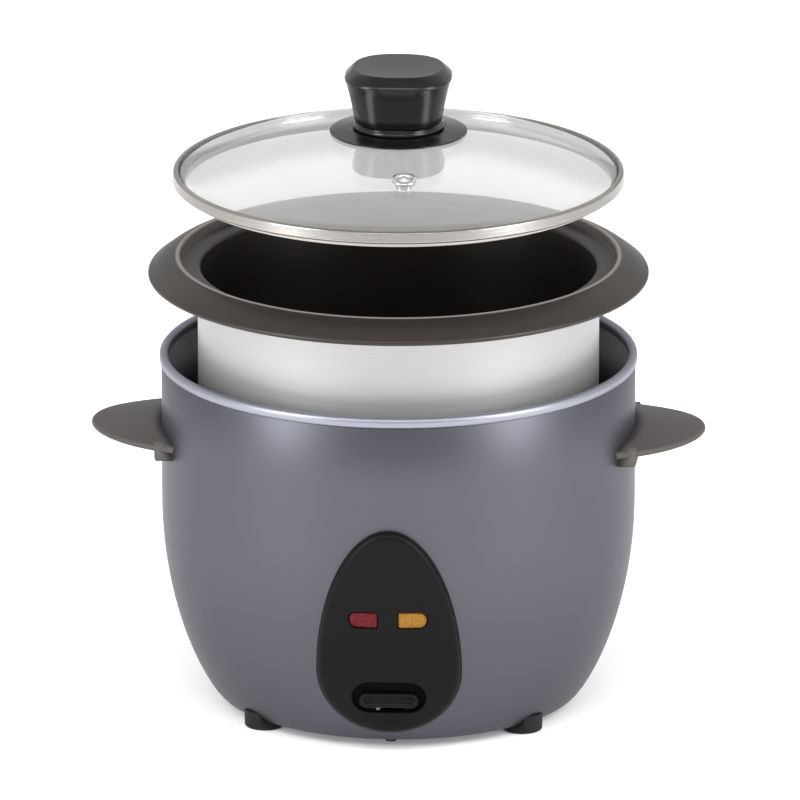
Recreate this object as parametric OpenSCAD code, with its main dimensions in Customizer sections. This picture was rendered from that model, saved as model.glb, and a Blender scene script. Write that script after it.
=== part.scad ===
// Drum rice cooker, drawn lifted apart: base, inner pot raised above it, glass lid raised above the pot.
// The origin is on the floor under the middle of the base, +Z is up and the control panel faces -Y.

/* [Base body] */
// Radius of the drum
body_r = 124.5; // [100:0.5:160]
// Height of the top of the steel shell
shell_top = 184; // [140:1:240]
// Height at which the bowl-shaped foot of the drum becomes straight
bowl_top = 110; // [80:1:130]
// Distance that the drum's lower edge lies inside its straight wall
bowl_in = 29.5; // [14:0.5:34]
// Thickness of the shell
shell_wall = 1.2; // [0.8:0.1:2]
// Height of the feet
foot_h = 4.5; // [3:0.5:10]
// Radius of a foot
foot_r = 10.8; // [8:0.2:14]
// Distance of a foot's middle inside the lower edge of the drum
foot_in = 4.7; // [2:0.1:5]
// Angle of the front right foot from the left-right line
foot_angle = 41.6; // [30:0.1:60]
// Radius of the rolled bead on the rim
rim_bead_r = 2.3; // [1.8:0.1:3]

/* [Chamber and heater] */
// Distance of the chamber's wall inside the drum
chamber_in = 12.5; // [10:0.5:20]
// Thickness of the liner
liner_wall = 1; // [0.6:0.1:2]
// Distance of the heater's edge inside the pot's wall
heater_in = 19.3; // [16:0.1:40]
// Height of the heater's top above the floor
heater_top = 61; // [50:1:75]
// Gap under the heater plate, over the liner's floor
heater_gap = 7; // [6:0.5:12]
// Thickness of the heater plate
heater_t = 9; // [7:0.5:12]
// Radius of the hole in the heater for the sensor
heater_hole_r = 20; // [19:0.5:26]
// Mean radius of the heating element's ring
element_r = 62; // [50:1:70]

/* [Inner pot] */
// Gap between the pot and the chamber's wall
pot_gap = 6.7; // [3:0.1:12]
// Thickness of the pot
pot_wall = 1.6; // [1:0.1:3]
// Distance of the pot's raised crest inside the middle of the rim
crest_in = 7.2; // [6:0.1:9]
// Reach of the sloping flange past the middle of the rim
flange_out = 8.1; // [5:0.1:15]
// Height that the flange falls from the crest to its edge
flange_drop = 9; // [6:0.5:12]
// Height of the crest above the ledge inside it
crest_rise = 5; // [3:0.5:8]
// Radius of the pot's bottom corner
pot_corner_r = 24; // [10:1:40]
// Height at which the pot is drawn above its seat
pot_lift = 45.3; // [0:0.1:80]

/* [Lid] */
// Reach of the lid's steel band past the pot's crest
band_out = 2.3; // [1:0.1:4]
// Height of the band
band_h = 6.6; // [5:0.2:10]
// Rise of the glass from the band to its middle
dome_rise = 23; // [12:1:40]
// Thickness of the glass
glass_t = 4; // [3:0.5:6]
// Height at which the lid is drawn above its seat
lid_lift = 39.7; // [0:0.1:80]
// Distance of the steam vent from the middle
vent_y = 69; // [50:1:90]
// Angle of the vent around the lid from the front
vent_turn = 4.9; // [0:0.1:90]
// Radius of the vent's flange
vent_r = 6.6; // [5:0.2:9]

/* [Knob] */
// Radius of the knob's skirt
skirt_r = 36; // [30:0.5:45]
// Radius of the knob's shoulder
knob_r = 28.2; // [22:0.2:34]
// Radius of the knob's waist
waist_r = 22.8; // [16:0.2:28]
// Height of the knob above its skirt
knob_h = 33; // [24:0.5:45]

/* [Handles] */
// Reach of a handle's tip out of the drum
handle_out = 37; // [25:0.5:60]
// Half the length of a handle where it meets the body
handle_half = 43.6; // [36:0.2:50]
// Distance of a handle's edge below the top of the shell
handle_down = 36.6; // [20:0.2:50]
// Thickness of a handle
handle_t = 3.6; // [3:0.2:6]

/* [Control panel] */
// Half the width of the panel
panel_half_w = 38; // [32:0.5:46]
// Height of the panel's lowest point
panel_low = 11; // [8:0.5:16]
// Height at which the panel is widest
panel_mid = 48; // [44:0.5:60]
// Height of the panel's top
panel_high = 128; // [115:1:135]
// Thickness of the panel
panel_t = 5; // [4:0.5:8]
// Height of the lamp lenses
lens_z = 80; // [74:0.5:95]
// Distance of a lens from the panel's middle line
lens_x = 12.9; // [11:0.1:16]
// Width of a lens
lens_w = 15; // [12:0.2:18]
// Height of a lens
lens_h = 8.6; // [6:0.2:11]
// Gap around the switch button at its sides
recess_side = 3.8; // [2:0.1:6]
// Gap over the button when it is up
recess_over = 7.4; // [4:0.1:9]
// Gap under the button when it is pressed
recess_under = 0.6; // [0.4:0.1:3]

/* [Switch] */
// Width of the switch button
button_w = 31; // [24:0.5:33]
// Height of the switch button
button_h = 7.8; // [6:0.2:9]
// Height of the button when it is up
button_z = 33; // [31:0.2:36]
// Distance of the lever's pivot in front of the middle
pivot_y = 78; // [74:1:84]
// Height of the lever's pivot
pivot_z = 20; // [18:0.5:24]
// Radius of the pivot pin
pivot_r = 2; // [1.5:0.1:3]

/* [Power inlet] */
// Height of the middle of the inlet
inlet_z = 32; // [30:1:34]
// Width of the socket's opening
socket_w = 24.6; // [24:0.1:26]
// Height of the socket's opening
socket_h = 16.6; // [16:0.1:18]

/* [Clearances] */
// Running clearance of pin and sensor stem
run_gap = 0.05; // [0.03:0.01:0.1]
// Gap between pieces that lift apart
lift_gap = 0.3; // [0.2:0.05:0.6]
// Gap between fixed pieces that fit into each other
fit_gap = 0.1; // [0.05:0.05:0.3]

/* [Hidden] */
$fn = 96;
tiny = 0.01;
past = 1;

// Shell: the foot of the drum follows one smooth bulge from the base plate to the straight wall.
bowl_power = 0.8;
bowl_foot_r = body_r - bowl_in;
shell_steps = 20;
function bowl_r(z) = bowl_foot_r + (body_r - bowl_foot_r)
    * pow(max(0, 1 - pow(1 - (z - foot_h) / (bowl_top - foot_h), 2)), bowl_power);
function shell_r(z) = z >= bowl_top ? body_r : bowl_r(max(z, foot_h));
function shell_slope(z) = z >= bowl_top ? 0 : (bowl_r(z + tiny) - bowl_r(z)) / tiny;
function skin_r(z, out) = shell_r(z) + out * sqrt(1 + pow(shell_slope(z), 2));
function shell_z(i) = foot_h + (bowl_top - foot_h) * pow(i / shell_steps, 1.5);
lip_w = 10;
lip_r = bowl_foot_r - lip_w;

// Rings that follow the drum
rim_over = 1;
rim_mid_r = body_r + rim_over - rim_bead_r;
chamber_r = body_r - chamber_in;
pot_r = chamber_r - pot_gap;
heater_r = pot_r - heater_in;
crest_r = rim_mid_r - crest_in;
flange_r = rim_mid_r + flange_out;
band_r = crest_r + band_out;
foot_ring_r = bowl_foot_r - foot_in;
foot_x = foot_ring_r * cos(foot_angle);
foot_y = foot_ring_r * sin(foot_angle);
handle_reach = body_r + handle_out;
handle_z = shell_top - handle_down;

// Rim
rim_mid_z = shell_top + rim_bead_r + 0.4;
rim_inner_r = rim_mid_r - rim_bead_r;

// Base plate
plate_t = 1.2;
plate_z = foot_h + shell_wall;
plate_top = plate_z + plate_t;
plate_r = bowl_foot_r - shell_wall - fit_gap;
screw_ring_r = bowl_foot_r - lip_w / 2;

// Heater and chamber
heater_under = heater_top - heater_t;
floor_top = heater_under - heater_gap;
liner_floor = floor_top - liner_wall;
funnel_z = shell_top - 24;
element_tube_r = 4;
element_angle = 300;
leg_angle = (360 - element_angle) / 2 + 5;
post_ring_r = 42;
post_r = 5.5;
post_screw_r = 2;

// Sensor
stem_r = 12.5;
stem_bore_r = 10.5;
cap_r = 17.5;
cap_h = 3;
cap_above = 2.5;
cap_top = heater_top + cap_above;
guide_r = 15;
guide_top = heater_under - 2;
guide_flange_r = 20;
ferrite_h = 6;
sensor_dish = cap_above + lift_gap;
spring_r = 14.3;
spring_wire_r = 0.6;

// Switch works
lever_w = 12;
nose_r = 2;
nose_z = plate_top + 1 + nose_r;
strip_t = 1.5;
frame_x = 21;
frame_t = 1.5;
holder_z = nose_z + nose_r + lift_gap;
holder_t = 2;
magnet_r = 9.5;
magnet_t = 4.9;
magnet_top = holder_z + holder_t + magnet_t;
switch_angle = 7;
magnet_rise = pivot_y * switch_angle * PI / 180;
stem_low = holder_z + holder_t + magnet_rise + cap_above + 0.8;
guide_low = stem_low + 3;
ferrite_low = magnet_top + magnet_rise + cap_above + 0.7;
button_y = skin_r(button_z, panel_t);
button_back = button_y - 2.2;
lever_travel = (button_y - pivot_y) * sin(switch_angle);
recess_w = button_w + 2 * recess_side;
recess_h = button_h + recess_over + lever_travel + recess_under;
recess_z = button_z + button_h / 2 + recess_over - recess_h / 2;

// Pot
pot_seat = heater_top + lift_gap;
flange_slope = flange_drop / (flange_r - crest_r);
flange_thick_z = pot_wall * sqrt(1 + pow(flange_slope, 2));
rim_touch_z = rim_mid_z + (rim_bead_r + lift_gap) * sqrt(1 + pow(flange_slope, 2));
crest_seated_z = rim_touch_z + (rim_mid_r - crest_r) * flange_slope + flange_thick_z;
function flange_z(r) = crest_z - flange_slope * (r - crest_r);
crest_z = crest_seated_z + pot_lift;
ledge_z = crest_z - crest_rise;
pot_low = pot_seat + pot_lift;
roll_r = 1.4;
flange_bulge = 1.3;

// Lid
band_low = crest_z + lift_gap + lid_lift;
band_top = band_low + band_h;
band_w = 6;
glass_r = band_r - 3.5;
lip_drop = 3;
dome_edge_z = band_top - 1;
dome_r = (pow(glass_r, 2) + pow(dome_rise, 2)) / (2 * dome_rise);
dome_mid_z = dome_edge_z + dome_rise - dome_r;
function glass_z(r) = dome_mid_z + sqrt(pow(dome_r, 2) - pow(r, 2));
knob_hole_r = 4;
knob_screw_r = 2.5;
vent_hole_r = 4.6;
skirt_z = glass_z(skirt_r);
skirt_h = 3;
knob_low = skirt_z + skirt_h;
knob_top = knob_low + knob_h;
squareness = 2.7;
slice_t = 0.2;
dish_depth = 2;
dish_ball_r = 125;

// Handles
screw_y = 30;
handle_screw_r = 2;
screw_drop = 3.5;
wing_root = body_r - 44.5;
wing_steps = 32;
wing_half = handle_half / sqrt(1 - pow((body_r - wing_root) / (handle_reach - wing_root), 2));
handle_crown = 4;
handle_droop = 3;
crown_r = (pow(handle_half, 2) + pow(handle_crown, 2)) / (2 * handle_crown);
pad_x = body_r + 2.5;
pad_h = 8.5;

// Panel
clip_z = [panel_mid + 10, bowl_top + 3.6];
clip_r = 2;
recess_floor = 1.2;
scoop_floor = 2.8;
scoop_w = 27;
scoop_h = 11;
lamp_r = 2.2;
lamp_len = 10;
lamp_y = shell_r(lens_z - 6) - shell_wall - lamp_r - 1;

// Inlet: the neck goes through the shell and the collar stands on it
neck_w = socket_w + 4;
neck_h = socket_h + 4;
collar_w = neck_w + 6;
collar_h = neck_h + 6;
socket_deep = 22;
pin_recess = 7.5;
pin_x = 7;
pin_step = 2;
block_y = 71;
pin_len = 24.5;
inlet_face = skin_r(inlet_z + collar_h / 2, 0) + 2;

// ---------- shared shapes ----------

// Ring about the Z axis
module ring(outer, inner, low, high) {
    difference() {
        translate([0, 0, low]) cylinder(r = outer, h = high - low);
        translate([0, 0, low - past]) cylinder(r = inner, h = high - low + 2 * past);
    }
}

// Drum of the shell's outside grown by out, from the base plate to top
module drum(out, top) {
    foot = foot_h;
    points = [for (i = [0 : shell_steps]) if (shell_z(i) < top) [skin_r(shell_z(i), out), shell_z(i)]];
    rotate_extrude() polygon(concat([[0, foot]], points, [[skin_r(top, out), top], [0, top]]));
}

// Egg outline in the XZ plane, grown by out
function egg(out) = [for (a = [0 : 6 : 354])
    [(panel_half_w + out) * cos(a),
     panel_mid + (a <= 180 ? (panel_high - panel_mid + out) : (panel_mid - panel_low + out)) * sin(a)]];

// Solid that stands on the XZ plane's outline and runs along -Y from near to far
module to_front(near, far) {
    translate([0, -near, 0]) rotate([90, 0, 0]) linear_extrude(height = far - near) children();
}

// Slot with round ends, w wide and h high
module slot2d(w, h) {
    square([w - h, h], center = true);
    translate([(w - h) / 2, 0]) circle(d = h);
    translate([(h - w) / 2, 0]) circle(d = h);
}

// Faces of a closed tube of n rings with the given number of sides
function tube_faces(n, sides) = concat(
    [for (i = [0 : n - 2], j = [0 : sides - 1], t = [0, 1]) let (k = (j + 1) % sides, a = i * sides, b = a + sides)
        t == 0 ? [a + j, a + k, b + k] : [a + j, b + k, b + j]],
    [[for (j = [sides - 1 : -1 : 0]) j], [for (j = [0 : sides - 1]) (n - 1) * sides + j]]
);

// Lens outline: round at one end only
module lens2d(out, side) {
    h = lens_h + 2 * out;
    w = lens_w + 2 * out;
    translate([side > 0 ? -w / 2 : h / 2 - w / 2, -h / 2]) square([w - h / 2, h]);
    translate([side * (w - h) / 2, 0]) circle(d = h);
}

// Cylinder along X between x0 and x1
module rod_x(r, x0, x1) {
    translate([x0, 0, 0]) rotate([0, 90, 0]) cylinder(r = r, h = x1 - x0);
}

// ---------- base ----------

module outer_shell() {
    outside = [for (i = [0 : shell_steps]) [shell_r(shell_z(i)), shell_z(i)]];
    inside = [for (i = [shell_steps : -1 : 0]) if (shell_z(i) > plate_z + tiny)
        [skin_r(shell_z(i), -shell_wall), shell_z(i)]];
    lip = [[skin_r(plate_z, -shell_wall), plate_z], [lip_r, plate_z], [lip_r, foot_h]];
    top = [[body_r, shell_top], [body_r - shell_wall, shell_top]];
    color([0.45, 0.45, 0.49]) difference() {
        rotate_extrude() polygon(concat(outside, top, inside, lip));
        to_front(bowl_foot_r - 10, body_r + past) {
            for (s = [-1, 1]) translate([s * lens_x, lens_z])
                square([lens_w - 3, lens_h - 2], center = true);
            for (z = clip_z) translate([0, z]) circle(r = clip_r + fit_gap);
        }
        for (y = [-screw_y, screw_y], s = [-1, 1]) translate([0, y, handle_z - screw_drop])
            rod_x(handle_screw_r + fit_gap, s > 0 ? wing_root : -body_r - past, s > 0 ? body_r + past : -wing_root);
        translate([0, 0, inlet_z]) mirror([0, 1, 0]) to_front(bowl_foot_r, body_r + past)
            square([neck_w + 2 * fit_gap, neck_h + 2 * fit_gap], center = true);
        lever_slot();
        base_screw_holes(foot_h - past, plate_z + past);
    }
}

module top_rim() {
    color([0.72, 0.72, 0.75]) rotate_extrude() {
        translate([rim_mid_r, rim_mid_z]) circle(r = rim_bead_r);
        translate([rim_inner_r, shell_top]) square([2 * rim_bead_r, rim_mid_z - shell_top]);
    }
}

module inner_liner() {
    top_r = rim_inner_r + 0.2;
    w = liner_wall;
    color([0.30, 0.31, 0.36]) difference() {
        rotate_extrude() polygon([
            [top_r, shell_top], [top_r + w, shell_top], [chamber_r + w, funnel_z - w / 2],
            [chamber_r + w, liner_floor], [guide_r + fit_gap, liner_floor], [guide_r + fit_gap, floor_top],
            [chamber_r, floor_top], [chamber_r, funnel_z]
        ]);
        for (a = [90 : 120 : 330]) rotate(a) translate([post_ring_r, 0, liner_floor - past])
            cylinder(r = post_screw_r + fit_gap, h = liner_wall + 2 * past);
        for (s = [-1, 1]) terminal_hole(s);
    }
}

// Hole in the liner's floor for one end of the heating element
module terminal_hole(side) {
    rotate(90 + side * leg_angle) translate([element_r, 0, liner_floor - past])
        cylinder(r = element_tube_r + 2, h = liner_wall + 2 * past);
}

module base_screw_holes(low, high) {
    for (a = [0 : 90 : 270]) rotate(a) translate([screw_ring_r, 0, low])
        cylinder(r = 1.7, h = high - low);
}

module base_plate() {
    slots = 9;
    color([0.60, 0.61, 0.63]) difference() {
        translate([0, 0, plate_z]) cylinder(r = plate_r, h = plate_t);
        base_screw_holes(plate_z - past, plate_top + past);
        for (i = [0 : slots - 1]) rotate(i * 360 / slots + 20) translate([48, 0, plate_z + plate_t / 2])
            cube([22, 3.2, plate_t + 2 * past], center = true);
        for (x = [-foot_x, foot_x], y = [-foot_y, foot_y]) foot_peg_hole(x, y);
    }
}

// The peg of a foot stands further in than the foot, where the base plate reaches
peg_in = 0.91;
peg_r = 2.5;
module foot_peg_hole(x, y) {
    translate([x * peg_in, y * peg_in, plate_z - past])
        cylinder(r = peg_r + fit_gap, h = plate_t + 2 * past);
}

module foot(x, y) {
    color([0.09, 0.09, 0.10]) {
        difference() {
            translate([x, y, 0]) {
                cylinder(r1 = foot_r - 1.2, r2 = foot_r, h = 1.2);
                translate([0, 0, 1.2]) cylinder(r = foot_r, h = foot_h + 4);
            }
            drum(0, bowl_top);
        }
        translate([x * peg_in, y * peg_in, foot_h / 2]) cylinder(r = peg_r, h = plate_top + 2 - foot_h / 2);
    }
}

module foot_front_left() foot(-foot_x, -foot_y);
module foot_front_right() foot(foot_x, -foot_y);
module foot_rear_left() foot(-foot_x, foot_y);
module foot_rear_right() foot(foot_x, foot_y);

module base_screws() {
    color([0.75, 0.75, 0.78]) for (a = [0 : 90 : 270]) rotate(a) translate([screw_ring_r, 0, 0]) {
        translate([0, 0, foot_h - 1.8]) cylinder(r = 3, h = 1.8);
        translate([0, 0, foot_h - 0.5]) cylinder(r = 1.6, h = plate_top + 2 - foot_h);
    }
}

// Handle on the +X side: a thin crowned wing with a half-elliptic outline, on a pad that hugs the drum
module handle() {
    wing_low = handle_z - handle_droop - 2;
    wing = [for (i = [0 : wing_steps]) let (a = 180 * i / wing_steps)
        [wing_root + (handle_reach - wing_root) * sin(a), -wing_half * cos(a)]];
    color([0.36, 0.34, 0.32]) difference() {
        union() {
            intersection() {
                translate([0, 0, wing_low - 10]) linear_extrude(height = 40) polygon(wing);
                translate([body_r, 0, handle_z + handle_crown]) rotate([0, handle_droop, 0])
                    translate([0, 0, -crown_r]) difference() {
                        rod_x(crown_r, -40, 60);
                        rod_x(crown_r - handle_t, -41, 61);
                    }
            }
            intersection() {
                translate([wing_root, -handle_half, handle_z - pad_h])
                    cube([pad_x - wing_root, 2 * handle_half, pad_h + 1.5]);
                translate([pad_x - 30, 0, handle_z - pad_h - past]) cylinder(r = handle_half + 12, h = 40);
            }
        }
        translate([0, 0, handle_z - 40]) cylinder(r = body_r, h = 80);
        for (y = [-screw_y, screw_y]) translate([0, y, handle_z - screw_drop])
            rod_x(handle_screw_r + fit_gap, wing_root, body_r + 1);
    }
}

module handle_right() handle();
module handle_left() mirror([1, 0, 0]) handle();

module handle_screws() {
    head_r = 3.6;
    seat_x = sqrt(pow(body_r - shell_wall, 2) - pow(screw_y + head_r, 2));
    color([0.72, 0.72, 0.74]) for (s = [0, 1]) mirror([s, 0, 0])
        for (y = [-screw_y, screw_y]) translate([0, y, handle_z - screw_drop]) {
            rod_x(handle_screw_r, seat_x - 1, body_r);
            rod_x(head_r, seat_x - 2.4, seat_x - 0.2);
        }
}

// ---------- control panel ----------

module control_panel() {
    color([0.09, 0.09, 0.10]) difference() {
        intersection() {
            drum(panel_t, panel_high + 10);
            to_front(60, body_r + 20) polygon(egg(0));
        }
        drum(0, panel_high + 10 + past);
        to_front(60, body_r + 20) {
            for (s = [-1, 1]) translate([s * lens_x, lens_z]) lens2d(fit_gap, s);
        }
        difference() {
            to_front(60, body_r + 20) translate([0, recess_z]) slot2d(recess_w, recess_h);
            drum(recess_floor, panel_high);
        }
        lever_slot();
        scoop();
        for (z = clip_z) translate([0, 0, z]) to_front(60, shell_r(z) + panel_t / 2) circle(r = clip_r);
    }
}

// Slot that the lever's arm moves in, through the shell and the floor of the recess
module lever_slot() {
    low = button_z - lever_travel - 4;
    translate([0, 0, low]) to_front(bowl_foot_r, body_r + past)
        translate([-lever_w / 2 - 1, 0]) square([lever_w + 2, button_z + 4 - low]);
}

// Shallow finger scoop that runs out of the bottom of the switch recess
module scoop() {
    difference() {
        to_front(60, body_r + 20) translate([0, recess_z - recess_h / 2]) slot2d(scoop_w, scoop_h);
        drum(scoop_floor, panel_high);
    }
}

module panel_clips() {
    color([0.80, 0.80, 0.78]) for (z = clip_z) translate([0, 0, z]) {
        to_front(shell_r(z) - shell_wall - 3.2, shell_r(z) + panel_t / 2) circle(r = clip_r);
        to_front(shell_r(z) - shell_wall - 3.2, shell_r(z) - shell_wall - 1.8) circle(r = clip_r + 1.2);
    }
}

module lens(side) {
    front = skin_r(lens_z, panel_t);
    translate([side * lens_x, 0, lens_z]) {
        to_front(shell_r(lens_z + lens_h / 2) + lift_gap, front - 0.2) lens2d(0, side);
        to_front(front - 0.5, front + 0.5) lens2d(-0.8, side);
    }
}

module cook_lens() color([0.60, 0.10, 0.14]) lens(-1);
module warm_lens() color([0.85, 0.58, 0.14]) lens(1);

// Small neon lamp lying along X behind its lens, with one round end
module lamp(side) {
    translate([side * (lens_x - lens_w / 3), -lamp_y, lens_z]) {
        rod_x(lamp_r, side > 0 ? 0 : -lamp_len, side > 0 ? lamp_len : 0);
        translate([side * lamp_len, 0, 0]) sphere(r = lamp_r);
    }
}

module cook_lamp() color([0.95, 0.75, 0.65]) lamp(-1);
module warm_lamp() color([0.95, 0.85, 0.65]) lamp(1);

// Shelf under both lamps, reaching from the liner to the shell
module lamp_holder() {
    half = lens_x + lens_w / 2;
    inside = shell_r(lens_z - 6) - shell_wall;
    color([0.85, 0.84, 0.80]) intersection() {
        translate([-half, -body_r, lens_z - lamp_r - 2]) cube([2 * half, body_r, 2]);
        ring(inside - fit_gap, chamber_r + liner_wall, lens_z - lamp_r - 2, lens_z - lamp_r);
    }
}

// ---------- heater ----------

module heater_plate() {
    edge = 1.5;
    groove_w = 2 * element_tube_r + 1;
    color([0.74, 0.75, 0.77]) difference() {
        rotate_extrude() polygon([
            [heater_hole_r, heater_under], [heater_r - 4, heater_under], [heater_r, heater_under + 4],
            [heater_r, heater_top - edge], [heater_r - edge, heater_top],
            [heater_hole_r + 1, heater_top], [heater_hole_r, heater_top - 1]
        ]);
        ring(element_r + groove_w / 2, element_r - groove_w / 2, heater_under - past, heater_under + 4);
        for (a = [90 : 120 : 330]) rotate(a) translate([post_ring_r, 0, heater_under - past])
            cylinder(r = post_screw_r + fit_gap, h = 5 + past);
    }
}

// Tubular element with flats, bent into an open ring; its cold ends turn down through the liner
module heating_element() {
    flat_r = element_tube_r / cos(22.5);
    mid_z = heater_under + 4 - element_tube_r;
    color([0.33, 0.32, 0.31]) {
        rotate(90 + (360 - element_angle) / 2) rotate_extrude(angle = element_angle)
            translate([element_r, mid_z]) rotate(22.5) circle(r = flat_r, $fn = 8);
        for (s = [-1, 1]) rotate(90 + s * leg_angle)
            translate([element_r, 0, liner_floor - 8])
                cylinder(r = element_tube_r - 1, h = mid_z - liner_floor + 8);
    }
    color([0.80, 0.80, 0.82]) for (s = [-1, 1]) rotate(90 + s * leg_angle)
        translate([element_r, 0, liner_floor - 14]) cylinder(r = 1.6, h = 8);
}

module heater_posts() {
    color([0.70, 0.70, 0.72]) for (a = [90 : 120 : 330]) rotate(a) translate([post_ring_r, 0, 0])
        ring(post_r, post_screw_r + fit_gap, floor_top, heater_under);
}

module heater_screws() {
    color([0.78, 0.78, 0.80]) for (a = [90 : 120 : 330]) rotate(a) translate([post_ring_r, 0, 0]) {
        translate([0, 0, liner_floor - 2.5]) cylinder(r = 4, h = 2.5);
        translate([0, 0, liner_floor - 1]) cylinder(r = post_screw_r, h = heater_under + 4 - liner_floor);
    }
}

// ---------- thermostat sensor ----------

module sensor_guide() {
    color([0.72, 0.73, 0.75]) {
        ring(guide_r, stem_r + run_gap, guide_low, guide_top);
        ring(guide_flange_r, guide_r - 1, liner_floor - 1.5, liner_floor);
    }
}

module sensor_cap() {
    under = cap_top - cap_h;
    stop_z = guide_low - lift_gap;
    color([0.80, 0.81, 0.83]) rotate_extrude() polygon([
        [0, cap_top], [cap_r - 1, cap_top], [cap_r, cap_top - 1], [cap_r, under], [stem_r, under],
        [stem_r, stop_z], [stem_r + 1.6, stop_z], [stem_r + 1.6, stop_z - 1.6], [stem_r, stop_z - 1.6],
        [stem_r, stem_low], [stem_bore_r, stem_low], [stem_bore_r, ferrite_low + ferrite_h],
        [0, ferrite_low + ferrite_h]
    ]);
}

module sensor_ferrite() {
    color([0.20, 0.20, 0.21]) translate([0, 0, ferrite_low])
        cylinder(r = stem_bore_r - fit_gap, h = ferrite_h);
}

// Spring wound as a helix with eight-sided wire
module sensor_spring() {
    turns = 4;
    ring_n = 20;
    sides = 8;
    low = guide_top + spring_wire_r + 0.05;
    high = cap_top - cap_h - spring_wire_r - 0.05;
    rings = turns * ring_n;
    points = [for (i = [0 : rings]) let (a = 360 * i / ring_n, z = low + (high - low) * i / rings)
        for (j = [0 : sides - 1]) let (b = -360 * j / sides)
            [(spring_r + spring_wire_r * cos(b)) * cos(a), (spring_r + spring_wire_r * cos(b)) * sin(a),
             z + spring_wire_r * sin(b)]];
    color([0.66, 0.66, 0.68]) polyhedron(points = points, faces = tube_faces(rings + 1, sides));
}

// ---------- switch works ----------

module switch_frame() {
    front = pivot_y + 8;
    back = 14;
    low = plate_top + 3;
    color([0.62, 0.62, 0.60]) difference() {
        for (s = [0, 1]) mirror([s, 0, 0]) {
            translate([frame_x, -front, low]) cube([frame_t, front + back, liner_floor - low]);
            translate([frame_x, -front, liner_floor - frame_t]) cube([11, front + back, frame_t]);
        }
        translate([0, -pivot_y, pivot_z]) rod_x(pivot_r + fit_gap / 2, -40, 40);
        for (a = [210, 330]) rotate(a) translate([post_ring_r, 0, liner_floor - 5])
            cylinder(r = 4.3, h = 6);
    }
}

module pivot_pin() {
    color([0.75, 0.75, 0.77]) translate([0, -pivot_y, pivot_z]) {
        rod_x(pivot_r, -frame_x - frame_t - 1.5, frame_x + frame_t + 1.5);
        for (s = [-1, 1]) translate([s * (frame_x + frame_t + 0.6), 0, 0]) rod_x(pivot_r + 1, -0.5, 0.5);
    }
}

// Lever: a hub on the pin, an arm forward and up to the button, a strip back to under the magnet
module switch_lever() {
    hub_r = pivot_r + 2.2;
    front_y = button_back;
    color([0.70, 0.69, 0.66]) difference() {
        union() {
            translate([0, -pivot_y, pivot_z]) rod_x(hub_r, -lever_w / 2, lever_w / 2);
            side_plate([[-pivot_y - 3, pivot_z - 2.5], [-pivot_y - 3, pivot_z + 3.5],
                [-front_y + 10, button_z + 2],
                [-front_y, button_z + 2], [-front_y, button_z - 2], [-front_y + 9, button_z - 2]]);
            side_plate([[-pivot_y - 1, pivot_z - 3.5], [-pivot_y + 5, pivot_z - 1],
                [-pivot_y + 14, nose_z + strip_t - 1],
                [0, nose_z + strip_t - 1], [0, nose_z - 1], [-pivot_y + 12, nose_z - 1]]);
            translate([0, 0, nose_z]) rod_x(nose_r, -lever_w / 2, lever_w / 2);
        }
        translate([0, -pivot_y, pivot_z]) rod_x(pivot_r + run_gap, -lever_w, lever_w);
    }
}

// Plate of the lever's width with the given outline in the YZ plane
module side_plate(points) {
    translate([-lever_w / 2, 0, 0]) rotate([90, 0, 90]) linear_extrude(height = lever_w) polygon(points);
}

module switch_button() {
    groove = 1.6;
    color([0.13, 0.13, 0.14]) translate([0, 0, button_z]) difference() {
        to_front(button_back, button_y + 1.5) slot2d(button_w, button_h);
        to_front(button_y + 0.7, button_y + 3) slot2d(button_w - 5, groove);
    }
}

module magnet_holder() {
    color([0.74, 0.73, 0.70]) translate([-frame_x + 0.4, -8, holder_z])
        cube([2 * frame_x - 0.8, 16, holder_t]);
}

module magnet() {
    color([0.22, 0.22, 0.24]) translate([0, 0, holder_z + holder_t])
        cylinder(r = magnet_r, h = magnet_top - holder_z - holder_t);
}

module microswitch() {
    x = frame_x + frame_t;
    color([0.16, 0.16, 0.17]) translate([x, -52, liner_floor - 20]) difference() {
        cube([8, 20, 12]);
        for (y = [4, 16]) translate([0, y, 6]) rod_x(1.4, -past, 9);
    }
    color([0.80, 0.74, 0.50]) for (y = [3, 10, 17]) translate([x + 3, -52 + y, liner_floor - 24])
        cube([2, 1, 4]);
}

// ---------- wiring and inlet ----------

module keep_warm_heater() {
    color([0.82, 0.78, 0.66]) {
        translate([-62, -20, liner_floor - 7]) cube([20, 44, 7]);
        for (y = [-20, 24]) translate([-52, y, liner_floor - 3.5]) rotate([90, 0, 0])
            cylinder(r = 1.2, h = 8, center = true);
    }
}

module thermal_fuse() {
    color([0.80, 0.70, 0.45]) translate([45, 8, liner_floor - 3]) {
        rotate([-90, 0, 0]) cylinder(r = 3, h = 18);
        translate([0, -6, 0]) rotate([-90, 0, 0]) cylinder(r = 1, h = 30);
    }
}

module terminal_block() {
    color([0.88, 0.87, 0.82]) difference() {
        translate([-19, block_y - 7, plate_top]) cube([38, 14, 13]);
        for (x = [-12, 0, 12]) translate([x, block_y, plate_top + 6]) cylinder(r = 2.6, h = 10);
    }
}

module inlet_housing() {
    color([0.07, 0.07, 0.08]) difference() {
        union() {
            translate([0, 0, inlet_z]) mirror([0, 1, 0]) {
                to_front(inlet_face - socket_deep - 2, inlet_face - 1)
                    square([neck_w, neck_h], center = true);
            }
            difference() {
                translate([0, 0, inlet_z]) mirror([0, 1, 0]) to_front(bowl_foot_r, inlet_face)
                    square([collar_w, collar_h], center = true);
                drum(0, panel_high);
            }
        }
        translate([0, 0, inlet_z]) mirror([0, 1, 0])
            to_front(inlet_face - socket_deep, inlet_face + 3) square([socket_w, socket_h], center = true);
        for (x = [-pin_x, 0, pin_x])
            translate([x, inlet_face - socket_deep - 4, inlet_z + (x == 0 ? pin_step : -pin_step)])
            cube([2.2, 8, 4.2], center = true);
    }
}

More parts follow.
